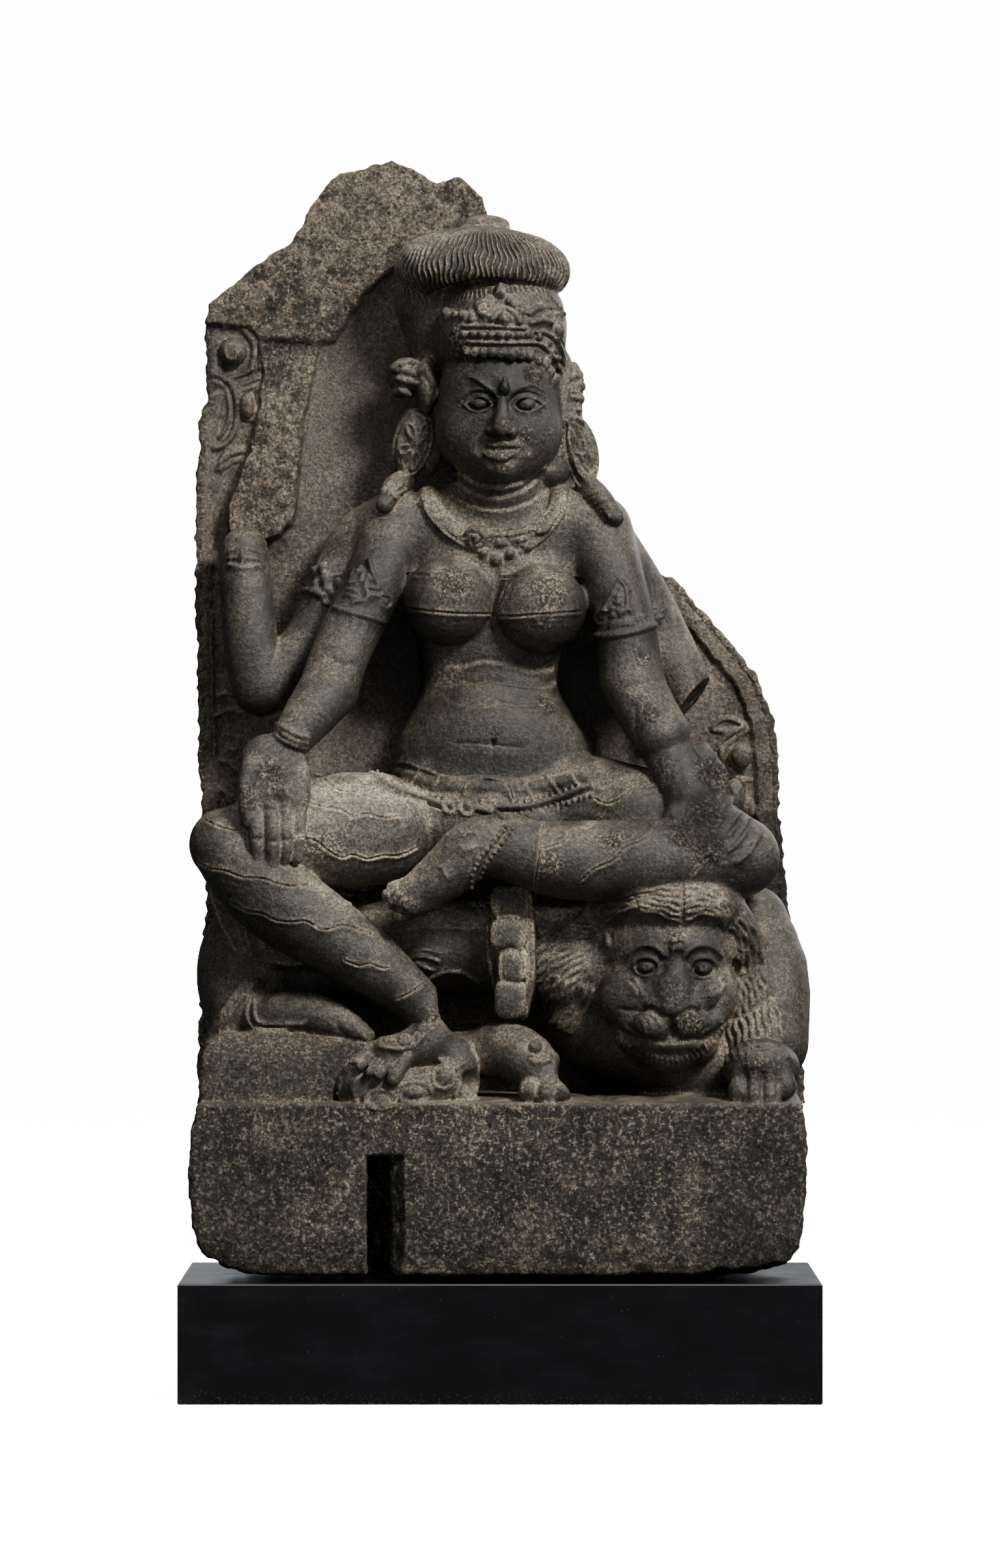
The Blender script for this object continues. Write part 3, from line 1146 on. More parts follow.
def arm_jewels():
    """Armlets with their peaks and scrolls, bracelets, and the lotus mark in the palm."""
    line([(83, 571), (95, 570), (110, 572), (124, 575), (138, 580)], 3.4, sink=0.15, soft=1.2)
    groove([(85, 571), (95, 571), (110, 573), (124, 576), (136, 581)], 0.9, sink=-2.6, soft=0.6)
    line([(93, 594), (100, 607), (107, 621)], [2.2, 1.9, 1.5])
    line([(107, 621), (113, 612), (114, 597)], [1.5, 1.9, 2.2])
    for place, size in (
        ((107, 613), 2.6), ((106, 606), 3.4), ((106, 600), 3.6), ((100, 595), 3.4), ((93, 593), 3.0),
        ((107, 593), 3.6), ((101, 589), 3.2)
    ):
        bead(place, size, sink=0.2, stretch=(1.15, 1, 0.9))
    curl((91, 586), 7.5, start=60, turns=1.4, thick=1.8)
    curl((128, 587), 5.5, start=0, turns=-1.3, thick=1.7)
    line([(99, 582), (110, 584), (121, 585)], 1.6)
    beads([(99, 579), (110, 581), (121, 581)], 6, 2.5, sink=0.1)
    line([(108, 589), (114, 595), (118, 591)], 2.2, sink=0.1)
    lines(([(136, 594), (144, 597)], [(136, 589), (146, 593)], [(137, 584), (146, 588)]), 2.2, sink=0.1)
    line([(-157, 600), (-144, 594), (-129, 590), (-115, 586), (-101, 582)], 2.6, sink=0.1)
    line([(-156, 624), (-144, 625), (-132, 630), (-122, 636), (-117, 638)], [1.6, 1.6, 1.7, 1.8, 2.0])
    line([(-117, 638), (-114, 627), (-108, 615), (-103, 609)], [2.6, 2.4, 2.0, 1.6], sink=-0.1)
    line([(-118, 625), (-121, 616), (-119, 608), (-120, 600)], 1.8)
    lines(
        (
            [(-125, 631), (-127, 627)], [(-128, 629), (-131, 623)], [(-123, 627), (-125, 620)],
            [(-132, 627), (-134, 621)], [(-136, 617), (-129, 618)], [(-137, 612), (-129, 610)],
            [(-138, 607), (-130, 605)], [(-132, 600), (-123, 602)], [(-117, 621), (-113, 620)],
            [(-117, 614), (-109, 613)], [(-117, 607), (-110, 606)]
        ),
        2.0, sink=0.1
    )
    bead((-145, 616), 6.0, stretch=(0.8, 1, 1.2))
    curl((-103, 600), 8.0, start=120, turns=-1.3, thick=1.8)
    for place, size in (
        ((-166, 628), 5.4), ((-159, 631), 5.6), ((-157, 621), 6.2), ((-165, 617), 5.0), ((-155, 612), 5.0),
        ((-149, 607), 4.0)
    ):
        bead(place, size, sink=0.2, stretch=(0.9, 1, 1.1))
    line([(-178, 611), (-167, 610), (-159, 606)], 3.4)
    lines(
        (
            [(-200, 491), (-191, 486), (-181, 481), (-171, 479)],
            [(-202, 482), (-193, 476), (-184, 472), (-174, 469)]
        ),
        2.0
    )
    beads([(-201, 487), (-192, 481), (-183, 476), (-173, 474)], 10, 2.3, sink=0.1)
    lines(([(-243, 646), (-230, 649), (-218, 646)], [(-243, 634), (-230, 631), (-216, 633)]), 2.0)
    beads([(-241, 640), (-230, 641), (-218, 639)], 7, 2.6, sink=0.1)
    bead((-231, 639), 6.5, sink=0.4, stretch=(0.8, 1, 1.2))
    groove([(114, 522), (124, 526), (142, 530)], 1.2, soft=2)
    groove([(120, 507), (121, 490), (121, 469)], 1.4, soft=2)
    groove([(-153, 552), (-144, 545), (-131, 543)], 1.4, soft=2)
    for place in ((-204, 432), (-194, 431)):
        line(round_path(place, 3.6, 3.6), 1.0, sink=0.1)
    for path in (
        [(-222, 388), (-213, 388)], [(-208, 386), (-199, 386)], [(-197, 386), (-188, 388)],
        [(-185, 392), (-177, 393)], [(-214, 451), (-207, 445), (-197, 442), (-187, 446)],
        [(-216, 417), (-202, 414), (-191, 417)]
    ):
        groove(path, 1.0, soft=1.5)


def stump():
    """The broken left forearm: smooth to a ragged edge below the elbow, then a rough mass to the knee."""
    def ragged(distance, x, y, z):
        """Lumps on the broken skin."""
        lumps = 1.3 * noise(x, y, z, 9, 51, 3) + 0.9 * noise(x, y, z, 4, 52, 2)
        return distance + lumps.astype(np.float32)

    limb(
        [(135, -46, 491), (152, -58, 460), (167, -70, 426), (172, -84, 380)], [20, 22, 25, 24], soft=1.5,
        change=ragged
    )
    limb([(178, -50, 464), (187, -60, 437), (186, -78, 388)], [12, 16, 17], change=ragged)
    ball((159, -90, 391), (19, 13, 32), soft=3, change=ragged)


def leg_lines():
    """Hems of the thin cloth over both legs, its folds, the anklets and the toenails."""
    for path in (
        [(-166, 445), (-158, 442), (-149, 435), (-139, 431), (-122, 431), (-110, 434)],
        [
            (-176, 423), (-162, 418), (-148, 416), (-139, 413), (-132, 408), (-120, 411), (-103, 407),
            (-90, 409)
        ],
        [
            (-178, 390), (-165, 387), (-155, 379), (-142, 372), (-132, 375), (-120, 371), (-103, 374),
            (-90, 374), (-75, 381)
        ],
        [(-264, 405), (-252, 400), (-239, 396), (-232, 397)],
        [
            (-272, 368), (-259, 362), (-246, 360), (-230, 354), (-213, 353), (-201, 349), (-187, 346),
            (-174, 347), (-159, 339), (-149, 338), (-141, 332), (-132, 328)
        ],
        [
            (-243, 333), (-236, 329), (-226, 324), (-213, 322), (-201, 316), (-187, 314), (-174, 315),
            (-158, 307), (-142, 311), (-129, 308), (-114, 302)
        ],
        [(-139, 280), (-126, 275), (-116, 277), (-107, 273), (-99, 273)],
        [(38, 401), (36, 382), (33, 362), (31, 343)],
        [(40, 380), (57, 386), (64, 395), (76, 398), (83, 404), (90, 409)],
        [(72, 351), (85, 362), (101, 369), (113, 381), (129, 388), (144, 404)],
        [(-68, 260), (-80, 251), (-93, 245)], [(171, 355), (183, 370), (197, 378)],
        [(85, 425), (95, 420), (107, 424), (116, 432)]
    ):
        hem(path)
    lines(
        (
            [(-144, 346), (-123, 342), (-107, 346)], [(-142, 339), (-123, 335), (-108, 338)],
            [(-137, 331), (-121, 328), (-107, 332)], [(-129, 324), (-121, 321), (-114, 316)],
            [(-228, 314), (-226, 299), (-222, 285)], [(-221, 315), (-216, 300), (-213, 285)],
            [(-214, 309), (-212, 295), (-208, 281)], [(-207, 305), (-205, 292), (-201, 280)],
            [(-235, 318), (-233, 304), (-228, 288)],
            [(-259, 339), (-252, 318), (-243, 300), (-233, 285), (-218, 280), (-197, 277), (-174, 273)],
            [(-78, 287), (-65, 289), (-53, 286)], [(-97, 305), (-72, 308), (-45, 308), (-19, 307)],
            [(-45, 314), (-32, 313), (-19, 311)]
        ),
        1.1, sink=-0.1, soft=1.4
    )
    beads([(-51, 243), (-55, 233), (-63, 225), (-72, 220)], 8, 2.0, sink=-0.4, soft=0.3)
    beads([(-47, 239), (-50, 229), (-58, 220), (-69, 214)], 9, 1.9, sink=-0.4, soft=0.3)
    line([(-106, 202), (-90, 200), (-76, 204), (-68, 213)], 1.8, sink=-0.2)
    for centre, wide, high in (((-99, 209), 5.2, 3.6), ((-85, 209), 6.6, 6.4), ((-75, 213), 3.6, 4.2)):
        bead(centre, wide, sink=0.35, stretch=(1, 1, high / wide))
        line(round_path(centre, wide * 0.7, high * 0.7), 1.1, sink=-0.3)
    for row, size in (
        ([(5, 399), (-3, 389), (-12, 379), (-20, 368), (-25, 355), (-26, 343), (-23, 330)], 2.7),
        ([(11, 397), (3, 386), (-6, 375), (-14, 364), (-19, 353), (-20, 341), (-16, 329)], 2.5)
    ):
        beads(row, 16, size - 0.3, sink=-0.4, soft=0.3)
    rosette((-19, 325), 9.5, 6)
    line(round_path((-79, 329), 6.4, 5.6, 10, 200), 1.2, sink=-0.1)
    lines(
        (
            [(-36, 382), (-30, 379), (-23, 382)], [(-32, 391), (-27, 395), (-22, 393)],
            [(-55, 364), (-50, 361), (-47, 354)]
        ),
        1.3
    )


def lotus_details():
    """Rims of the lotus petals and its round boss."""
    for centre, wide, high in (((-107, 155), 14, 9), ((-77, 161), 15, 10)):
        line(round_path(centre, wide, high), 1.6, sink=-0.1)
        groove(round_path(centre, wide - 4.5, high - 4))
    bead((-51, 175), 10.4, sink=0.62, soft=0.8)
    line(round_path((-51, 175), 10.2, 10.2), 1.7, sink=-0.2)
    lines(
        (
            [(-142, 154), (-143, 172), (-136, 187), (-125, 190)], [(-129, 154), (-132, 167), (-125, 176)],
            [(-55, 192), (-42, 183), (-34, 187)], [(-62, 183), (-67, 174), (-62, 162)],
            [(-37, 180), (-36, 169), (-40, 159)]
        ),
        1.9, sink=-0.1
    )


def sash_lines():
    """Folds and edges of the hanging sash."""
    for path, size in (
        ([(-6, 319), (9, 321), (26, 318)], 1.8),
        ([(-6, 291), (2, 289), (10, 291), (17, 287), (21, 278), (21, 265)], 2.0),
        ([(2, 264), (11, 260), (22, 262)], 1.8), ([(2, 286), (2, 265)], 1.6),
        ([(-1, 333), (1, 326), (-2, 321)], 1.4)
    ):
        groove(path, size, soft=1.0)
    lines(
        ([(23, 316), (24, 288), (24, 265), (20, 231)], [(29, 315), (30, 288), (29, 259), (23, 230)]), 1.3,
        sink=-0.1
    )


def lion_details():
    """Features, hair and paws of the lion."""
    for eye, wide, high in (((131, 274), 9.0, 6.4), ((182, 273), 9.4, 7.2)):
        groove(round_path(eye, wide, high), 1.2, soft=1.0)
        line(round_path(eye, wide + 2.4, high + 2.4, 5, 175, 12), 1.9, sink=-0.3, soft=0.8)
        line(round_path(eye, wide + 2.0, high + 2.0, 185, 355, 12), 1.4, sink=-0.1, soft=0.8)
        line(round_path((eye[0], eye[1] + 4), wide + 8, high + 9, 25, 155, 12), 2.0, soft=1.6)
        line(round_path(eye, 3.6, 3.4), 1.0, sink=-0.1, soft=0.4)
    line(round_path((160, 292), 6.4, 6.4, -30, 210, 12), 1.8, sink=-0.2)
    bead((160, 291), 4.2, sink=0.2)
    lines(
        (
            [(114, 260), (120, 255), (122, 248)], [(120, 263), (125, 256), (127, 249)],
            [(199, 265), (194, 257), (187, 252)], [(201, 258), (195, 251), (188, 248)],
            [(194, 267), (190, 262), (183, 257)]
        ),
        1.5, soft=1.2
    )
    for path, size in (
        ([(135, 238), (144, 231), (156, 228), (165, 232), (173, 236), (183, 231)], 2.2),
        ([(107, 236), (121, 234), (135, 237)], 1.8), ([(154, 227), (154, 217), (153, 209)], 2.4),
        ([(114, 221), (126, 212), (144, 207), (159, 207), (174, 211), (187, 220)], 1.8),
        ([(200, 248), (193, 237), (184, 232)], 1.6)
    ):
        groove(path, size, soft=2.0)
    lines(
        (
            [(130, 230), (136, 223), (137, 214)], [(127, 228), (130, 220), (131, 214)],
            [(136, 231), (143, 224), (144, 216)]
        ),
        1.3
    )
    strands(
        [[(85, 323), (101, 333), (118, 341)], [(95, 314), (107, 323), (122, 328)]], 4, 1.7, sink=0.0,
        wave=0.6, waves=2
    )
    strands(
        [[(122, 341), (142, 344), (160, 343)], [(127, 325), (142, 322), (161, 314)]], 6, 1.6, sink=0.0,
        wave=0.9, waves=2
    )
    strands(
        [
            [(166, 344), (184, 344), (201, 337), (211, 326)],
            [(166, 316), (183, 322), (197, 318), (202, 309)]
        ],
        6, 1.7, sink=0.0, wave=0.9, waves=2.4
    )
    groove([(164, 344), (164, 314)], 1.6, soft=1.5)
    for low, high, count in (
        ([(32, 306), (48, 318), (78, 322)], [(34, 280), (59, 297), (88, 302)], 6),
        ([(32, 273), (48, 287), (69, 294)], [(39, 235), (61, 251), (82, 267)], 7),
        ([(31, 230), (44, 249), (52, 265)], [(64, 214), (75, 232), (83, 253)], 6)
    ):
        strands([low, high], count, 2.1, wave=0.9, waves=2)
    for left, right, count in (
        ([(207, 309), (215, 298), (218, 267)], [(218, 321), (230, 300), (235, 276)], 4),
        ([(211, 260), (215, 248), (214, 230)], [(233, 271), (240, 256), (241, 243)], 6),
        ([(198, 221), (201, 207), (204, 190)], [(247, 244), (250, 227), (252, 209)], 9)
    ):
        strands([left, right], count, 2.0, wave=0.9, waves=2)
    for path in ([(210, 263), (223, 267), (234, 277)], [(200, 225), (220, 232), (244, 249)]):
        groove(path, 2.0, soft=1.5)
    bead((211, 276), 4.5, sink=0.0, soft=2, away=True)
    bead((99, 301), 3.6, sink=0.0, soft=2, stretch=(0.7, 1, 1.4), away=True)
    beard = [
        [(106, 211), (130, 196), (163, 194), (187, 211), (198, 225)],
        [(103, 206), (129, 189), (165, 187), (192, 206), (202, 222)]
    ]
    for a, b in zip(*(evenly(row, 26, 2) for row in beard)):
        line([a, b], 1.5)
    lines(
        (
            [(-226, 248), (-227, 232), (-221, 220), (-212, 217), (-191, 217)],
            [(-220, 248), (-220, 232), (-215, 224), (-202, 223), (-178, 223)],
            [(-219, 260), (-230, 248), (-243, 230), (-251, 217)], [(-227, 262), (-239, 248), (-251, 230)]
        ),
        2.0, sink=-0.1
    )
    for path in (
        [(-148, 227), (-145, 218), (-137, 213)], [(-131, 229), (-125, 221), (-118, 211)],
        [(-218, 218), (-197, 215), (-166, 215), (-144, 212), (-121, 207)]
    ):
        groove(path, 1.6, soft=1.6)
    bead((32, 203), 7.5, sink=0.55)
    groove(round_path((32, 203), 7.6, 7.6), 1.3)
    lines(([(27, 195), (36, 192), (43, 194)], [(29, 190), (36, 188), (44, 190)]), 1.6)
    for path in (
        [(221, 178), (221, 154)], [(235, 179), (235, 152)], [(248, 180), (249, 155)],
        [(34, 174), (34, 155)], [(48, 174), (48, 155)]
    ):
        groove(path, 1.8, soft=2)
    for centre, wide in (((27, 164), 7.5), ((41, 160), 6.5), ((55, 162), 7.5)):
        line(round_path(centre, wide, 7.5, 20, 200, 10), 1.3, sink=-0.1)
    line([(214, 194), (219, 200), (234, 204), (250, 202), (259, 193)], 2.0)
    curl((229, 187), 7, start=200, turns=-1.2, thick=1.8)
    lines(
        (
            [(-79, 282), (-67, 283), (-55, 279)], [(-74, 277), (-67, 273), (-60, 271)],
            [(-66, 262), (-49, 269), (-34, 269), (-20, 260)]
        ),
        1.8
    )


def arches():
    """The deep hollow between the lion's legs and the shade below its chin."""
    ball((-36, -72, 241), (24, 44, 30), soft=5, away=True)
    ball((-11, -104, 175), (25, 20, 14), soft=4, away=True)
    ball((94, -96, 182), (44, 40, 26), soft=6, away=True)


def side_reliefs():
    """Carved foliage at both sides of the slab."""
    for path, thick in (
        ([(-229, 844), (-220, 831), (-222, 810)], 3.0), ([(-223, 844), (-214, 831), (-215, 810)], 2.4),
        ([(-243, 802), (-232, 804), (-222, 809)], 2.2), ([(-237, 794), (-226, 797), (-216, 802)], 2.2),
        ([(-234, 789), (-225, 792), (-216, 795)], 2.0),
        ([(-233, 791), (-232, 770), (-225, 764), (-219, 767), (-216, 790)], 2.4),
        ([(-256, 805), (-243, 798), (-235, 781), (-237, 758), (-246, 742), (-257, 739)], 3.2),
        ([(-256, 798), (-246, 791), (-242, 775), (-244, 760), (-252, 748)], 2.4),
        ([(-255, 721), (-243, 732), (-230, 736)], 2.6), ([(-252, 725), (-246, 734), (-237, 739)], 2.0),
        ([(-250, 719), (-240, 726), (-230, 729)], 2.2)
    ):
        line(path, thick, sink=0.1, soft=1.2)
    ball((-241, 40, 827), (13, 9, 13))
    curl((-239, 824), 9, turns=1.3, thick=1.6)
    ball((-228, 42, 779), (7, 6, 12), soft=1.5)
    for path, thick in (
        ([(-250, 459), (-242, 456), (-233, 443)], 2.2),
        ([(-246, 482), (-237, 480), (-235, 470), (-243, 468)], 2.0),
        ([(-255, 498), (-243, 504), (-230, 501)], 2.0), ([(-252, 434), (-243, 427), (-240, 414)], 2.2),
        ([(-255, 516), (-246, 519), (-236, 516)], 1.8),
        ([(190, 488), (197, 495), (207, 496), (219, 489), (207, 484), (191, 486)], 2.4),
        ([(219, 489), (206, 482), (197, 474), (191, 462)], 2.4),
        ([(223, 486), (211, 479), (201, 469), (198, 456)], 2.2),
        ([(199, 469), (200, 449), (212, 442), (223, 441)], 2.4),
        ([(207, 469), (208, 455), (218, 448)], 1.8), ([(194, 451), (206, 449), (216, 440)], 2.6),
        ([(197, 446), (204, 437), (206, 423), (201, 407)], 3.0),
        ([(216, 440), (219, 423), (215, 404), (205, 391)], 3.0),
        ([(223, 423), (225, 404), (216, 388), (205, 378)], 2.6),
        ([(206, 414), (212, 417), (215, 413)], 1.8), ([(205, 407), (211, 410), (215, 406)], 1.8),
        ([(232, 393), (223, 376), (212, 367)], 2.4)
    ):
        line(path, thick, sink=0.1, soft=1.2)
    ball((210, -6, 425), (9, 14, 18), soft=4)
    ball((218, 36, 464), (10, 7, 12))


for form in (
    stump, arches, face, hair_and_crown, ear_details, necklace, torso_lines, girdle, arm_jewels, leg_lines,
    lotus_details, sash_lines, lion_details, side_reliefs
):
    form()


# Rubbed, chipped and broken places: where they show in front, their radius, how rough and how pale
SCARS = (
    ((-39, 619), 21, 1.0, 0.55), ((45, 612), 22, 1.0, 0.55), ((41, 586), 14, 0.5, 0.6),
    ((30, 804), 11, 0.5, 0.9), ((6, 760), 9, 0.7, 0.5), ((5, 750), 10, 0.8, 0.6), ((-3, 736), 13, 0.6, 0.4),
    ((4, 722), 10, 0.7, 0.7), ((23, 750), 8, 0.3, 0.6), ((19, 740), 6, 0.3, 0.5),
    ((-26, 813), 15, 0.9, 0.2), ((-36, 825), 16, 1.2, 0.3), ((-37, 841), 13, 1.2, 0.4),
    ((-225, 425), 14, 1.0, 0.5), ((-87, 328), 17, 0.9, 0.4), ((-97, 336), 12, 0.9, 0.4),
    ((155, 253), 18, 0.7, 0.3), ((170, 223), 15, 0.7, 0.8), ((156, 300), 7, 0.4, 1.0),
    ((213, 284), 13, 1.1, 0.3), ((232, 183), 24, 0.5, 0.0), ((136, 501), 9, 0.3, 0.7),
    ((127, 551), 9, 0.3, 0.6), ((142, 446), 22, 0.5, 0.2), ((166, 396), 21, 0.9, 0.9),
    ((188, 446), 22, 1.6, 0.0), ((185, 411), 24, 1.6, 0.0), ((188, 382), 20, 1.5, 0.1),
    ((-242, 419), 10, 0.3, 0.4), ((-205, 449), 14, 0.3, 0.6), ((-182, 627), 18, 0.3, 0.2),
    ((40, 507), 10, 0.3, 0.8), ((-45, 536), 16, 0.2, 0.3), ((54, 861), 11, 1.0, 0.3),
    ((180, 522), 16, 0.7, 0.2), ((-156, 382), 20, 0.2, 0.3), ((43, 364), 14, 0.3, 0.6),
    ((101, 388), 12, 0.3, 0.6)
)

# Darker and lighter parts of the stone: place, radius and change
TONES = (
    ((-1, -60, 775), 66, -0.34), ((-1, -75, 797), 34, -0.5), ((-32, -70, 754), 32, -0.25),
    ((148, -90, 256), 66, -0.25), ((157, -105, 297), 46, -0.45), ((157, -104, 339), 52, 0.9),
    ((-119, -90, 400), 90, 1.1), ((-256, 20, 294), 60, -0.2), ((-251, -100, 67), 90, -0.3),
    ((249, -100, 67), 90, -0.35), ((-4, -110, 153), 70, 0.4), ((151, -80, 365), 90, -0.35),
    ((-200, -90, 325), 70, -0.2), ((180, -100, 411), 44, -0.4), ((168, -80, 452), 40, -0.4),
    ((232, -90, 187), 44, -0.3), ((-74, -10, 848), 50, 0.4), ((-250, 20, 814), 50, -0.3),
    ((-7, -60, 492), 76, -0.3), ((106, -40, 597), 66, -0.5), ((-103, -40, 614), 56, -0.5),
    ((184, 40, 581), 66, 0.9), ((254, 40, 352), 80, -0.75), ((-74, 30, 551), 66, -0.6),
    ((81, 30, 522), 60, -0.6), ((226, -80, 244), 50, 0.3), ((54, -60, 296), 60, 0.4),
    ((-86, 44, 769), 80, -0.25), ((13, -90, 291), 50, 0.3)
)

scar_places, _ = stone.touch([place for place, *_ in SCARS])


def flat(mask, p):
    """A map of the front plane, read at rows of places."""
    (i, u), (k, w) = on_axis(stone.axes[0], p[:, 0]), on_axis(stone.axes[2], p[:, 2])
    near = mask[i, k] * (1 - u) + mask[i + 1, k] * u
    return near * (1 - w) + (mask[i, k + 1] * (1 - u) + mask[i + 1, k + 1] * u) * w


def worked(p, n):
    """How far each place is tooled or broken, scarred, pale from it, and freshly broken."""
    _, y, z = p.T
    slab = ramp(y, 14, 24)
    broken = ramp(-flat(MASKS["broken"], p), -2, 4) * slab
    lost = ramp(-flat(MASKS["lost hand"], p), -1, 3) * ramp(y, 2, 10)
    rim = ramp(flat(MASKS["edge"], p), -8, -3) * slab
    back = ramp(n[:, 1], 0.2, 0.6) * ramp(y, 60, 90)
    rock = ramp(-flat(MASKS["rock"], p), -2, 3) * ramp(y, -84, -94) * ramp(z, 150, 158)
    base = ramp(z, BLOCK_TOP + 2, BLOCK_TOP - 5)
    coarse = np.maximum.reduce([broken, lost, 0.8 * rim, back, 0.55 * rock, base])
    scar = np.zeros(len(p))
    pale = np.zeros(len(p))
    for place, (_, radius, rough, light) in zip(scar_places, SCARS):
        near = ramp(np.linalg.norm(p - place, axis=1), radius * 1.1, radius * 0.45)
        scar = np.maximum(scar, near * rough)
        pale = np.maximum(pale, near * light)
    return coarse, scar, pale, np.maximum(broken, lost)


def roughened(p, n):
    """Places moved in and out where the stone is tooled or broken, less so on the unseen sides."""
    coarse, scar, _, _ = worked(p, n)
    x, y, z = p.T
    facets = 0.5 - np.abs(noise(x, y, z, 15, 31, 3)) * 3.4 + 0.9 * noise(x, y, z, 34, 32)
    grains = noise(x, y, z, 5, 33, 2)
    unseen = 1 - 0.7 * ramp(y, 48, 66)
    height = coarse * (0.9 * facets + 0.55 * grains) * unseen
    height = height + scar * (1.0 * noise(x, y, z, 5, 35, 2) + 0.6 * noise(x, y, z, 2.6, 36) - 0.2)
    height = height + 0.14 * noise(x, y, z, 16, 37, 2)
    return p + n * np.clip(height, DEEPEST, HIGHEST)[:, None]


def vertex_rows(layer, key):
    """Three numbers for every vertex."""
    rows = np.empty(len(layer) * 3, np.float32)
    layer.foreach_get(key, rows)
    return rows.reshape(-1, 3)


def mesh_of(places, faces, name):
    """A mesh from rows of places and of corners."""
    mesh = bpy.data.meshes.new(name)
    mesh.vertices.add(len(places))
    mesh.vertices.foreach_set("co", places.astype(np.float32).ravel())
    mesh.loops.add(faces.size)
    mesh.loops.foreach_set("vertex_index", faces.astype(np.int32).ravel())
    mesh.polygons.add(len(faces))
    mesh.polygons.foreach_set("loop_start", np.arange(0, faces.size, faces.shape[1], dtype=np.int32))
    mesh.update(calc_edges=True)
    return mesh


def placed(name, data):
    """A new object in the scene."""
    thing = bpy.data.objects.new(name, data)
    bpy.context.scene.collection.objects.link(thing)
    return thing


def skin():
    """The stone's skin, roughened and thinned, in shares."""
    grid = openvdb.FloatGrid(REACH)
    grid.copyFromArray(np.clip(stone.field, -REACH, REACH))
    points, quads = grid.convertToQuads(0.0)
    places = np.stack(
        [np.interp(points[:, c], np.arange(len(axis)), axis) for c, axis in enumerate(stone.axes)], axis=1
    )
    mesh = mesh_of(places, quads, "stele")
    moved = roughened(places, vertex_rows(mesh.vertex_normals, "vector"))
    mesh.vertices.foreach_set("co", moved.astype(np.float32).ravel())
    mesh.update()
    stele = placed("stele", mesh)
    thin = stele.modifiers.new("thin", "DECIMATE")
    thin.ratio = min(1.0, TRIANGLES / (2 * len(quads)))
    bpy.context.view_layer.update()
    thinned = bpy.data.meshes.new_from_object(stele.evaluated_get(bpy.context.evaluated_depsgraph_get()))
    stele.modifiers.clear()
    stele.data = thinned
    return stele


def knot_rows(p):
    """The strands' phase round the knot, and how surely a place lies on its combed skin."""
    x, y, z = ((p - KNOT) @ turned(KNOT_TURN)).T
    shell = np.sqrt((np.stack([x, y, z], axis=1) ** 2 / KNOT_SIZE**2).sum(axis=1))
    sure = ramp(np.abs(shell - 1), 0.1, 0.05) * ramp(z, 36, 30) * ramp(z, -34, -24) * ramp(y, 30, 10)
    return comb(x, y, z), sure


def look_rows(mesh):
    """The looks of each place, kept as point values that the material reads."""
    p = vertex_rows(mesh.vertices, "co").astype(float)
    n = vertex_rows(mesh.vertex_normals, "vector").astype(float)
    coarse, scar, pale, fresh = worked(p, n)
    here = stone.sample(*p.T)
    small, large = (1 - (stone.sample(*(p + n * r).T) - here) / r for r in (HOLLOW_NEAR, HOLLOW_FAR))
    inner = 1 + (stone.sample(*(p - n * HOLLOW_NEAR).T) - here) / HOLLOW_NEAR
    peaks = np.clip(here / 0.8, 0, 1) * coarse
    strand_phase, knot = knot_rows(p)
    tone = np.ones(len(p))
    for place, radius, change in TONES:
        tone += change * ramp(np.linalg.norm(p - place, axis=1), radius, radius * 0.6)
    tone -= 0.35 * ramp(n[:, 2], 0.0, -0.7)
    return {
        "hollow": np.clip(ramp(small, 0.12, 0.6) + 0.6 * ramp(large, 0.3, 0.8), 0, 1),
        "crest": np.maximum(ramp(inner, 0.15, 0.6), peaks),
        "pits": np.clip(-here / 1.2, 0, 1) * np.maximum(coarse, scar),
        "coarse": coarse,
        "scar": np.maximum(scar * 0.5, pale),
        "fresh": fresh,
        "field": ramp(p[:, 1], 22, 34) * (1 - fresh) * ramp(p[:, 2], 150, 170),
        "up": ramp(n[:, 2], -0.1, 0.85),
        "tone": tone,
        "comb": strand_phase,
        "knot": knot
    }


stele = skin()
for name, values in look_rows(stele.data).items():
    stele.data.attributes.new(name, "FLOAT", "POINT").data.foreach_set("value", values.astype(np.float32))
stele.data.transform(Matrix.Translation((0, 0, STONE_FOOT)) @ Matrix.Scale(SHARE, 4))
stele.data.polygons.foreach_set("use_smooth", np.ones(len(stele.data.polygons), bool))
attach(stele, "root")
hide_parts("carved_stele")


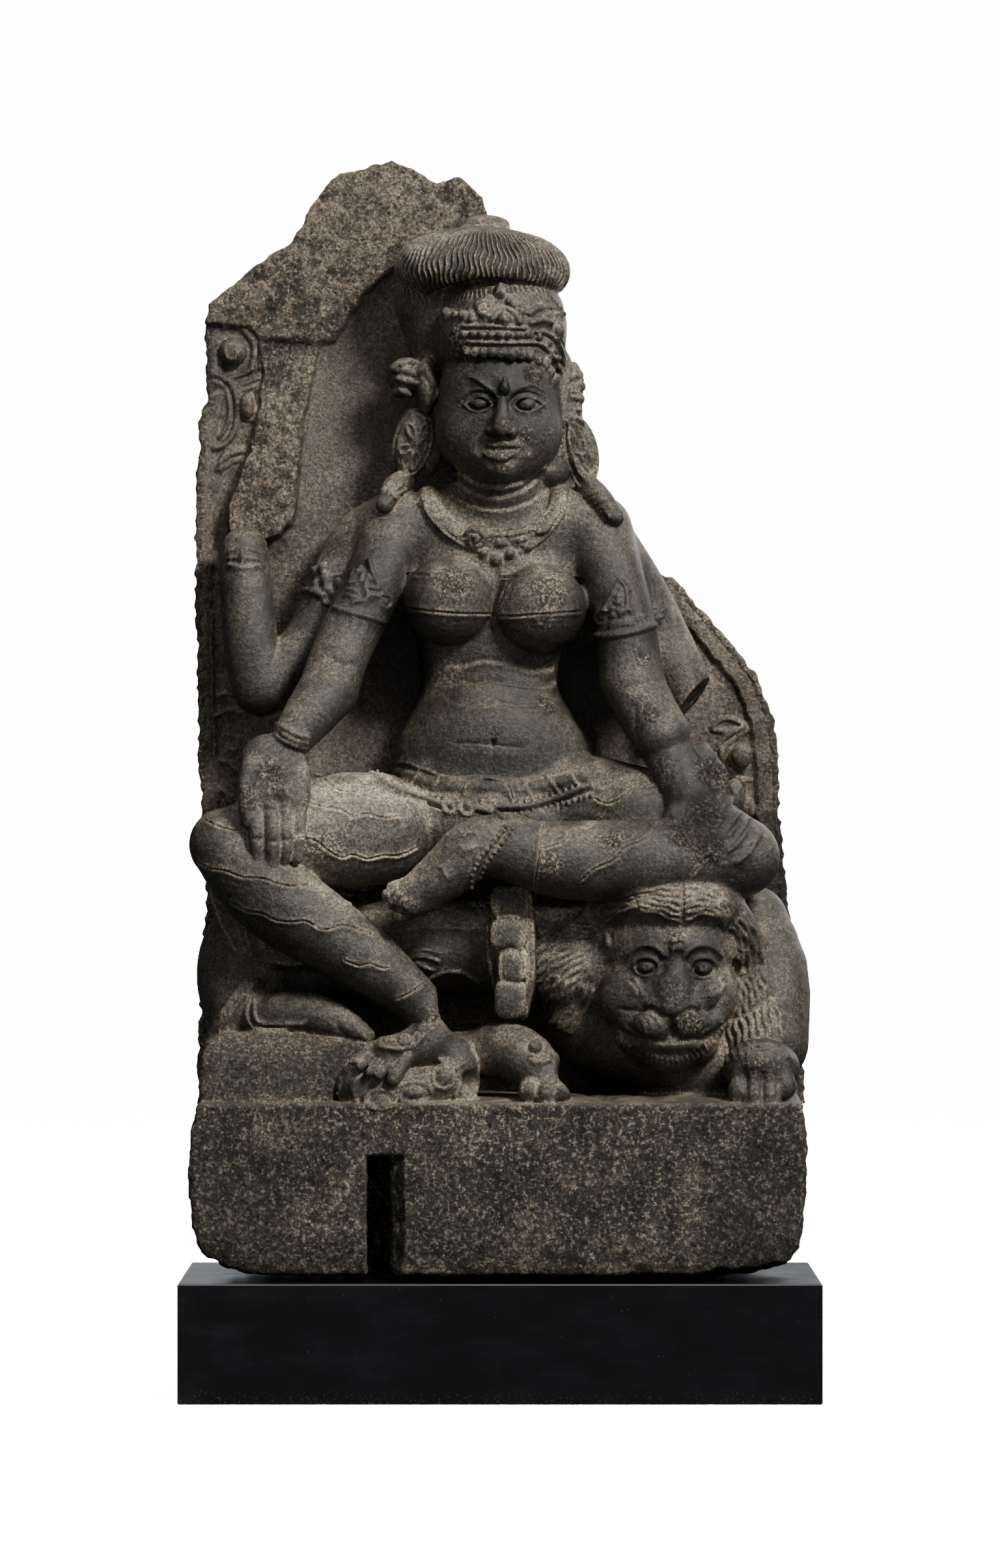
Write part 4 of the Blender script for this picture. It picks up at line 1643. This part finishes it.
class Surface:
    """A material's nodes, with short ways to add them."""

    def __init__(self, name):
        """A new material that reads places on the object."""
        self.material = bpy.data.materials.new(name)
        self.material.use_nodes = True
        self.tree = self.material.node_tree
        self.shader = self.tree.nodes["Principled BSDF"]
        self.place = self.add("ShaderNodeTexCoord").outputs["Object"]

    def add(self, kind, inputs=(), **settings):
        """A node with its settings, and its inputs linked or set."""
        node = self.tree.nodes.new(kind)
        for key, value in settings.items():
            setattr(node, key, value)
        for key, value in dict(inputs).items():
            self.feed(node.inputs[key], value)
        return node

    def feed(self, socket, value):
        """Link a socket, or set its number."""
        if isinstance(value, bpy.types.NodeSocket):
            self.tree.links.new(value, socket)
        else:
            socket.default_value = value

    def noise(self, scale, detail=4.0, rough=0.55, stretch=(1, 1, 1)):
        """Clouds of a given fineness."""
        place = self.add("ShaderNodeMapping", {"Vector": self.place, "Scale": stretch}).outputs[0]
        inputs = {"Vector": place, "Scale": scale, "Detail": detail, "Roughness": rough}
        return self.add("ShaderNodeTexNoise", inputs).outputs[0]

    def cells(self, scale):
        """How far each place is from scattered points."""
        return self.add("ShaderNodeTexVoronoi", {"Vector": self.place, "Scale": scale}).outputs["Distance"]

    def span(self, value, low, high, start=0.0, stop=1.0):
        """From start at low to stop at high, smooth between."""
        inputs = {0: value, 1: low, 2: high, 3: start, 4: stop}
        return self.add("ShaderNodeMapRange", inputs, interpolation_type="SMOOTHSTEP").outputs[0]

    def math(self, how, a, b=0.0):
        """One sum or function of two values."""
        return self.add("ShaderNodeMath", {0: a, 1: b}, operation=how).outputs[0]

    def times(self, value, *others):
        """The product of all values."""
        for other in others:
            value = self.math("MULTIPLY", value, other)
        return value

    def plus(self, a, b):
        """The sum of two values."""
        return self.math("ADD", a, b)

    def mix(self, share, a, b, how="MIX"):
        """A colour between two, or their product."""
        return self.add(
            "ShaderNodeMix", {0: share, 6: a, 7: b}, data_type="RGBA", blend_type=how
        ).outputs[2]

    def value(self, name):
        """A point value kept on the mesh."""
        return self.add("ShaderNodeAttribute", attribute_name=name).outputs["Fac"]

    def bump(self, height, strength, distance, normal=None):
        """Normals bent by a height, over those of another bump."""
        inputs = {"Height": height, "Strength": strength, "Distance": distance}
        if normal is not None:
            inputs["Normal"] = normal
        return self.add("ShaderNodeBump", inputs).outputs[0]

    def dress(self, **inputs):
        """Feed the shader itself, and give the material."""
        for key, value in inputs.items():
            self.feed(self.shader.inputs[key.replace("_", " ")], value)
        return self.material


# Colours of the stone, and of what lies on it
DARK_STONE = (0.0255, 0.0248, 0.0208, 1)
WARM_STONE = (0.041, 0.0366, 0.0288, 1)
FIELD_STONE = (0.068, 0.055, 0.042, 1)
TOOLED_STONE = (0.046, 0.042, 0.036, 1)
BROKEN_STONE = (0.150, 0.122, 0.092, 1)
DUST = (0.150, 0.129, 0.096, 1)
RUBBED = (0.168, 0.143, 0.101, 1)
WORN = (0.250, 0.212, 0.152, 1)
CAUGHT_DUST = (0.185, 0.160, 0.120, 1)
PIT = (0.012, 0.0115, 0.010, 1)
PECK = (0.008, 0.0078, 0.007, 1)
SPECK = (0.30, 0.265, 0.195, 1)

# Colours of the lacquer, of the specks on it and of the wood at its scuffs
LACQUER = (0.0035, 0.0035, 0.0045, 1)
SMEAR = (0.0065, 0.0065, 0.0085, 1)
LACQUER_SPECK = (0.16, 0.15, 0.14, 1)
SCUFF = (0.07, 0.055, 0.042, 1)


def stone_surface():
    """Dark schist: smooth and faintly sheened, brown and grainy where broken, with dust in the cuts."""
    s = Surface("carved stone")
    cloud, patch = s.noise(8), s.noise(38, 6, 0.62)
    mottle, fine = s.noise(210, 5, 0.65), s.noise(760, 4, 0.7)
    grain, speckle = s.noise(1500, 2, 0.7), s.noise(420, 5, 0.72)
    coarse, scar, tone = s.value("coarse"), s.value("scar"), s.value("tone")
    wave, knot = s.math("COSINE", s.value("comb")), s.value("knot")
    combed = s.times(s.span(wave, -0.3, 1.0), knot)
    dusty = s.times(s.value("up"), s.span(patch, 0.34, 0.62, 0.25, 0.95), s.span(tone, 0.7, 1.2, 0.25, 1.0))

    colour = s.mix(s.span(cloud, 0.35, 0.68), DARK_STONE, WARM_STONE)
    colour = s.mix(s.times(s.value("field"), 0.8), colour, FIELD_STONE)
    colour = s.mix(s.times(coarse, 0.5), colour, TOOLED_STONE)
    colour = s.mix(s.times(s.value("fresh"), s.span(patch, 0.2, 0.6, 0.7, 1.0)), colour, BROKEN_STONE)
    colour = s.mix(s.times(dusty, s.span(fine, 0.35, 0.65, 0.45, 0.9)), colour, DUST)
    rubbed = s.plus(s.times(s.value("hollow"), 0.8), s.plus(s.value("crest"), combed))
    rubbed = s.times(rubbed, s.span(fine, 0.36, 0.62, 0.2, 0.8), s.span(patch, 0.32, 0.58, 0.35, 0.95))
    colour = s.mix(s.times(rubbed, s.span(tone, 0.55, 1.0, 0.35, 1.0)), colour, RUBBED)
    worn = s.times(s.span(speckle, 0.46, 0.58), s.span(mottle, 0.4, 0.56, 0.35, 1.0))
    colour = s.mix(s.times(scar, worn), colour, WORN)
    colour = s.mix(s.times(s.value("pits"), 0.8), colour, PIT)
    caught = s.times(s.span(mottle, 0.5, 0.64), s.span(speckle, 0.42, 0.6, 0.15, 1.0))
    colour = s.mix(s.times(coarse, caught, 0.7), colour, CAUGHT_DUST)
    pecks = s.times(s.span(s.cells(230), 0.5, 0.12), s.span(mottle, 0.56, 0.44))
    colour = s.mix(s.times(coarse, pecks, 0.85), colour, PECK)

    valley = s.times(knot, s.span(wave, 0.5, -0.9))
    shade = s.times(
        tone, s.span(fine, 0.32, 0.68, 0.5, 1.75), s.span(mottle, 0.32, 0.68, 0.66, 1.4),
        s.span(patch, 0.3, 0.7, 0.72, 1.12), s.span(speckle, 0.34, 0.66, 0.6, 1.45),
        s.span(valley, 0.0, 1.0, 1.15, 0.4)
    )
    shades = s.add("ShaderNodeCombineColor", {0: shade, 1: shade, 2: shade}).outputs[0]
    colour = s.mix(1.0, colour, shades, "MULTIPLY")
    specks = s.times(s.span(s.cells(360), 0.19, 0.12), s.span(patch, 0.42, 0.6), 0.55)
    colour = s.mix(specks, colour, SPECK)

    rough = s.span(s.plus(coarse, s.plus(scar, dusty)), 0.0, 1.2, 0.42, 0.9)
    rough = s.plus(rough, s.span(fine, 0.3, 0.7, -0.07, 0.09))
    coarser = s.span(s.plus(coarse, scar), 0.0, 1.0, 0.16, 1.0)
    normal = None
    for height, strength, depth in (
        (s.times(s.noise(170, 6, 0.72, (1, 1, 1.5)), coarser), 1.0, 0.006),
        (s.times(s.cells(300), coarser), 0.8, 0.0018), (combed, 1.0, 0.0012), (mottle, 0.5, 0.0013),
        (fine, 0.5, 0.0007), (grain, 0.3, 0.0003)
    ):
        normal = s.bump(height, strength, depth, normal)
    return s.dress(Base_Color=colour, Roughness=rough, Normal=normal)


def lacquer_surface():
    """Black lacquer with faint smears, dust specks and scuffed lower edges."""
    s = Surface("black lacquer")
    smear = s.noise(14, 5, 0.6, (1, 1, 2.5))
    height = s.add("ShaderNodeSeparateXYZ", {0: s.place}).outputs[2]
    specks = s.times(s.span(s.cells(170), 0.085, 0.05), s.span(s.noise(30), 0.52, 0.62), 0.5)
    scuffs = s.times(s.span(height, 0.016, 0.001), s.span(s.noise(420, 4, 0.7), 0.56, 0.66))
    colour = s.mix(s.span(smear, 0.4, 0.7), LACQUER, SMEAR)
    colour = s.mix(specks, colour, LACQUER_SPECK)
    colour = s.mix(s.times(scuffs, 0.5), colour, SCUFF)
    rough = s.plus(s.span(smear, 0.35, 0.7, 0.1, 0.22), s.times(scuffs, 0.4))
    return s.dress(
        Base_Color=colour, Roughness=rough, Specular_IOR_Level=0.2,
        Normal=s.bump(s.noise(5, 2), 0.08, 0.002)
    )


stele.data.materials.clear()
stele.data.materials.append(stone_surface())
plinth = bpy.data.objects["display_plinth"]
for holder in plinth.material_slots:
    holder.material = lacquer_surface()

# The floor in metres: its middle disc, flat part, sweep's radius and wall's top; its sides round
FLOOR_MIDDLE, FLOOR_FLAT, SWEEP, WALL_TOP = 2.0, 9.0, 3.0, 16.0
ROUND = 64


def studio_stage():
    """A round pale floor that sweeps up into a wall, and gives off light that only the camera sees."""
    sweep = [(FLOOR_MIDDLE, 0.0), (FLOOR_FLAT, 0.0)]
    for t in np.linspace(0, math.pi / 2, 16)[1:]:
        sweep.append((FLOOR_FLAT + SWEEP * math.sin(t), SWEEP - SWEEP * math.cos(t)))
    sweep.append((FLOOR_FLAT + SWEEP, WALL_TOP))
    turns = np.linspace(0, 2 * math.pi, ROUND, endpoint=False)
    places = [(reach * math.cos(t), reach * math.sin(t), z) for reach, z in sweep for t in turns]
    faces = []
    for ring in range(len(sweep) - 1):
        for i in range(ROUND):
            here, beyond = ring * ROUND, ring * ROUND + ROUND
            after = (i + 1) % ROUND
            faces.append((beyond + i, beyond + after, here + after, here + i))
    faces.append(tuple(range(ROUND)))
    mesh = bpy.data.meshes.new("floor")
    mesh.from_pydata(places, [], faces)
    floor = placed("floor", mesh)
    s = Surface("pale floor")
    tint = s.mix(s.noise(3), (0.78, 0.78, 0.78, 1), (0.82, 0.82, 0.82, 1))
    s.shader.inputs["Emission Color"].default_value = (1, 1, 1, 1)
    s.shader.inputs["Emission Strength"].default_value = 14.0
    floor.data.materials.append(s.dress(Base_Color=tint, Roughness=0.9, Specular_IOR_Level=0.0))
    floor.data.polygons.foreach_set("use_smooth", np.ones(len(floor.data.polygons), bool))
    floor.visible_diffuse = False
    floor.visible_glossy = False
    return floor


def lamp(name, place, aim, size, power, colour, only=None):
    """A square area lamp turned at a place, that may light one object only."""
    light = bpy.data.lights.new(name, "AREA")
    light.size = size
    light.energy = power
    light.color = colour
    holder = placed(name, light)
    holder.location = place
    holder.rotation_euler = (Vector(place) - Vector(aim)).to_track_quat("Z", "Y").to_euler()
    if only is not None:
        receivers = bpy.data.collections.new(name + " receivers")
        receivers.objects.link(only)
        holder.light_linking.receiver_collection = receivers


def studio_world():
    """Dim surroundings, a little brighter behind and to the left."""
    world = bpy.data.worlds.new("studio")
    world.use_nodes = True
    tree = world.node_tree
    place = tree.nodes.new("ShaderNodeTexCoord").outputs["Generated"]
    turn = tree.nodes.new("ShaderNodeMapping")
    turn.inputs["Rotation"].default_value = (0, 0, math.radians(60))
    blend = tree.nodes.new("ShaderNodeTexGradient")
    shades = tree.nodes.new("ShaderNodeValToRGB")
    shades.color_ramp.elements[0].color = (0.05, 0.05, 0.052, 1)
    shades.color_ramp.elements[1].color = (0.43, 0.435, 0.44, 1)
    tree.links.new(place, turn.inputs["Vector"])
    tree.links.new(turn.outputs[0], blend.inputs[0])
    tree.links.new(blend.outputs[0], shades.inputs[0])
    tree.links.new(shades.outputs[0], tree.nodes["Background"].inputs["Color"])
    tree.nodes["Background"].inputs["Strength"].default_value = 0.8
    bpy.context.scene.world = world


floor = studio_stage()
studio_world()

# Each lamp: its name, place, aim, size, power, colour and what alone it lights
lamp("key", (1.55, -2.3, 2.6), (0.02, 0, 0.62), 0.7, 172, (1.0, 0.968, 0.91))
lamp("fill", (-2.6, -2.2, 1.3), (0, 0, 0.6), 1.4, 9, (1.0, 0.985, 0.96))
lamp("top", (0, -0.5, 3.2), (0, 0, 0.6), 1.2, 30, (1.0, 0.975, 0.93))
lamp("back light", (1.5, 3.2, 1.9), (0, 0, 0.55), 2.4, 60, (1.0, 0.985, 0.96), only=stele)
lamp("floor light", (0.4, 0.6, 4.5), (0, 0.4, 0), 2.0, 900, (1, 1, 1), only=floor)
lamp("plinth sheen", (0, 3.6, 1.0), (0, 0, 0.1), 3.0, 10, (0.9, 0.95, 1.0), only=plinth)
lamp(
    "plinth side light", (-0.62, -0.95, 0.08), (-0.3, -0.14, 0.05), 0.55, 2.2, (0.95, 0.92, 1.0),
    only=plinth
)

camera = placed("camera", bpy.data.cameras.new("camera"))
camera.location = (0, -6.19, 0.5247)
camera.rotation_euler = (math.radians(90), 0, 0)
camera.data.lens = 164.4
camera.data.sensor_width = 36
bpy.context.scene.camera = camera
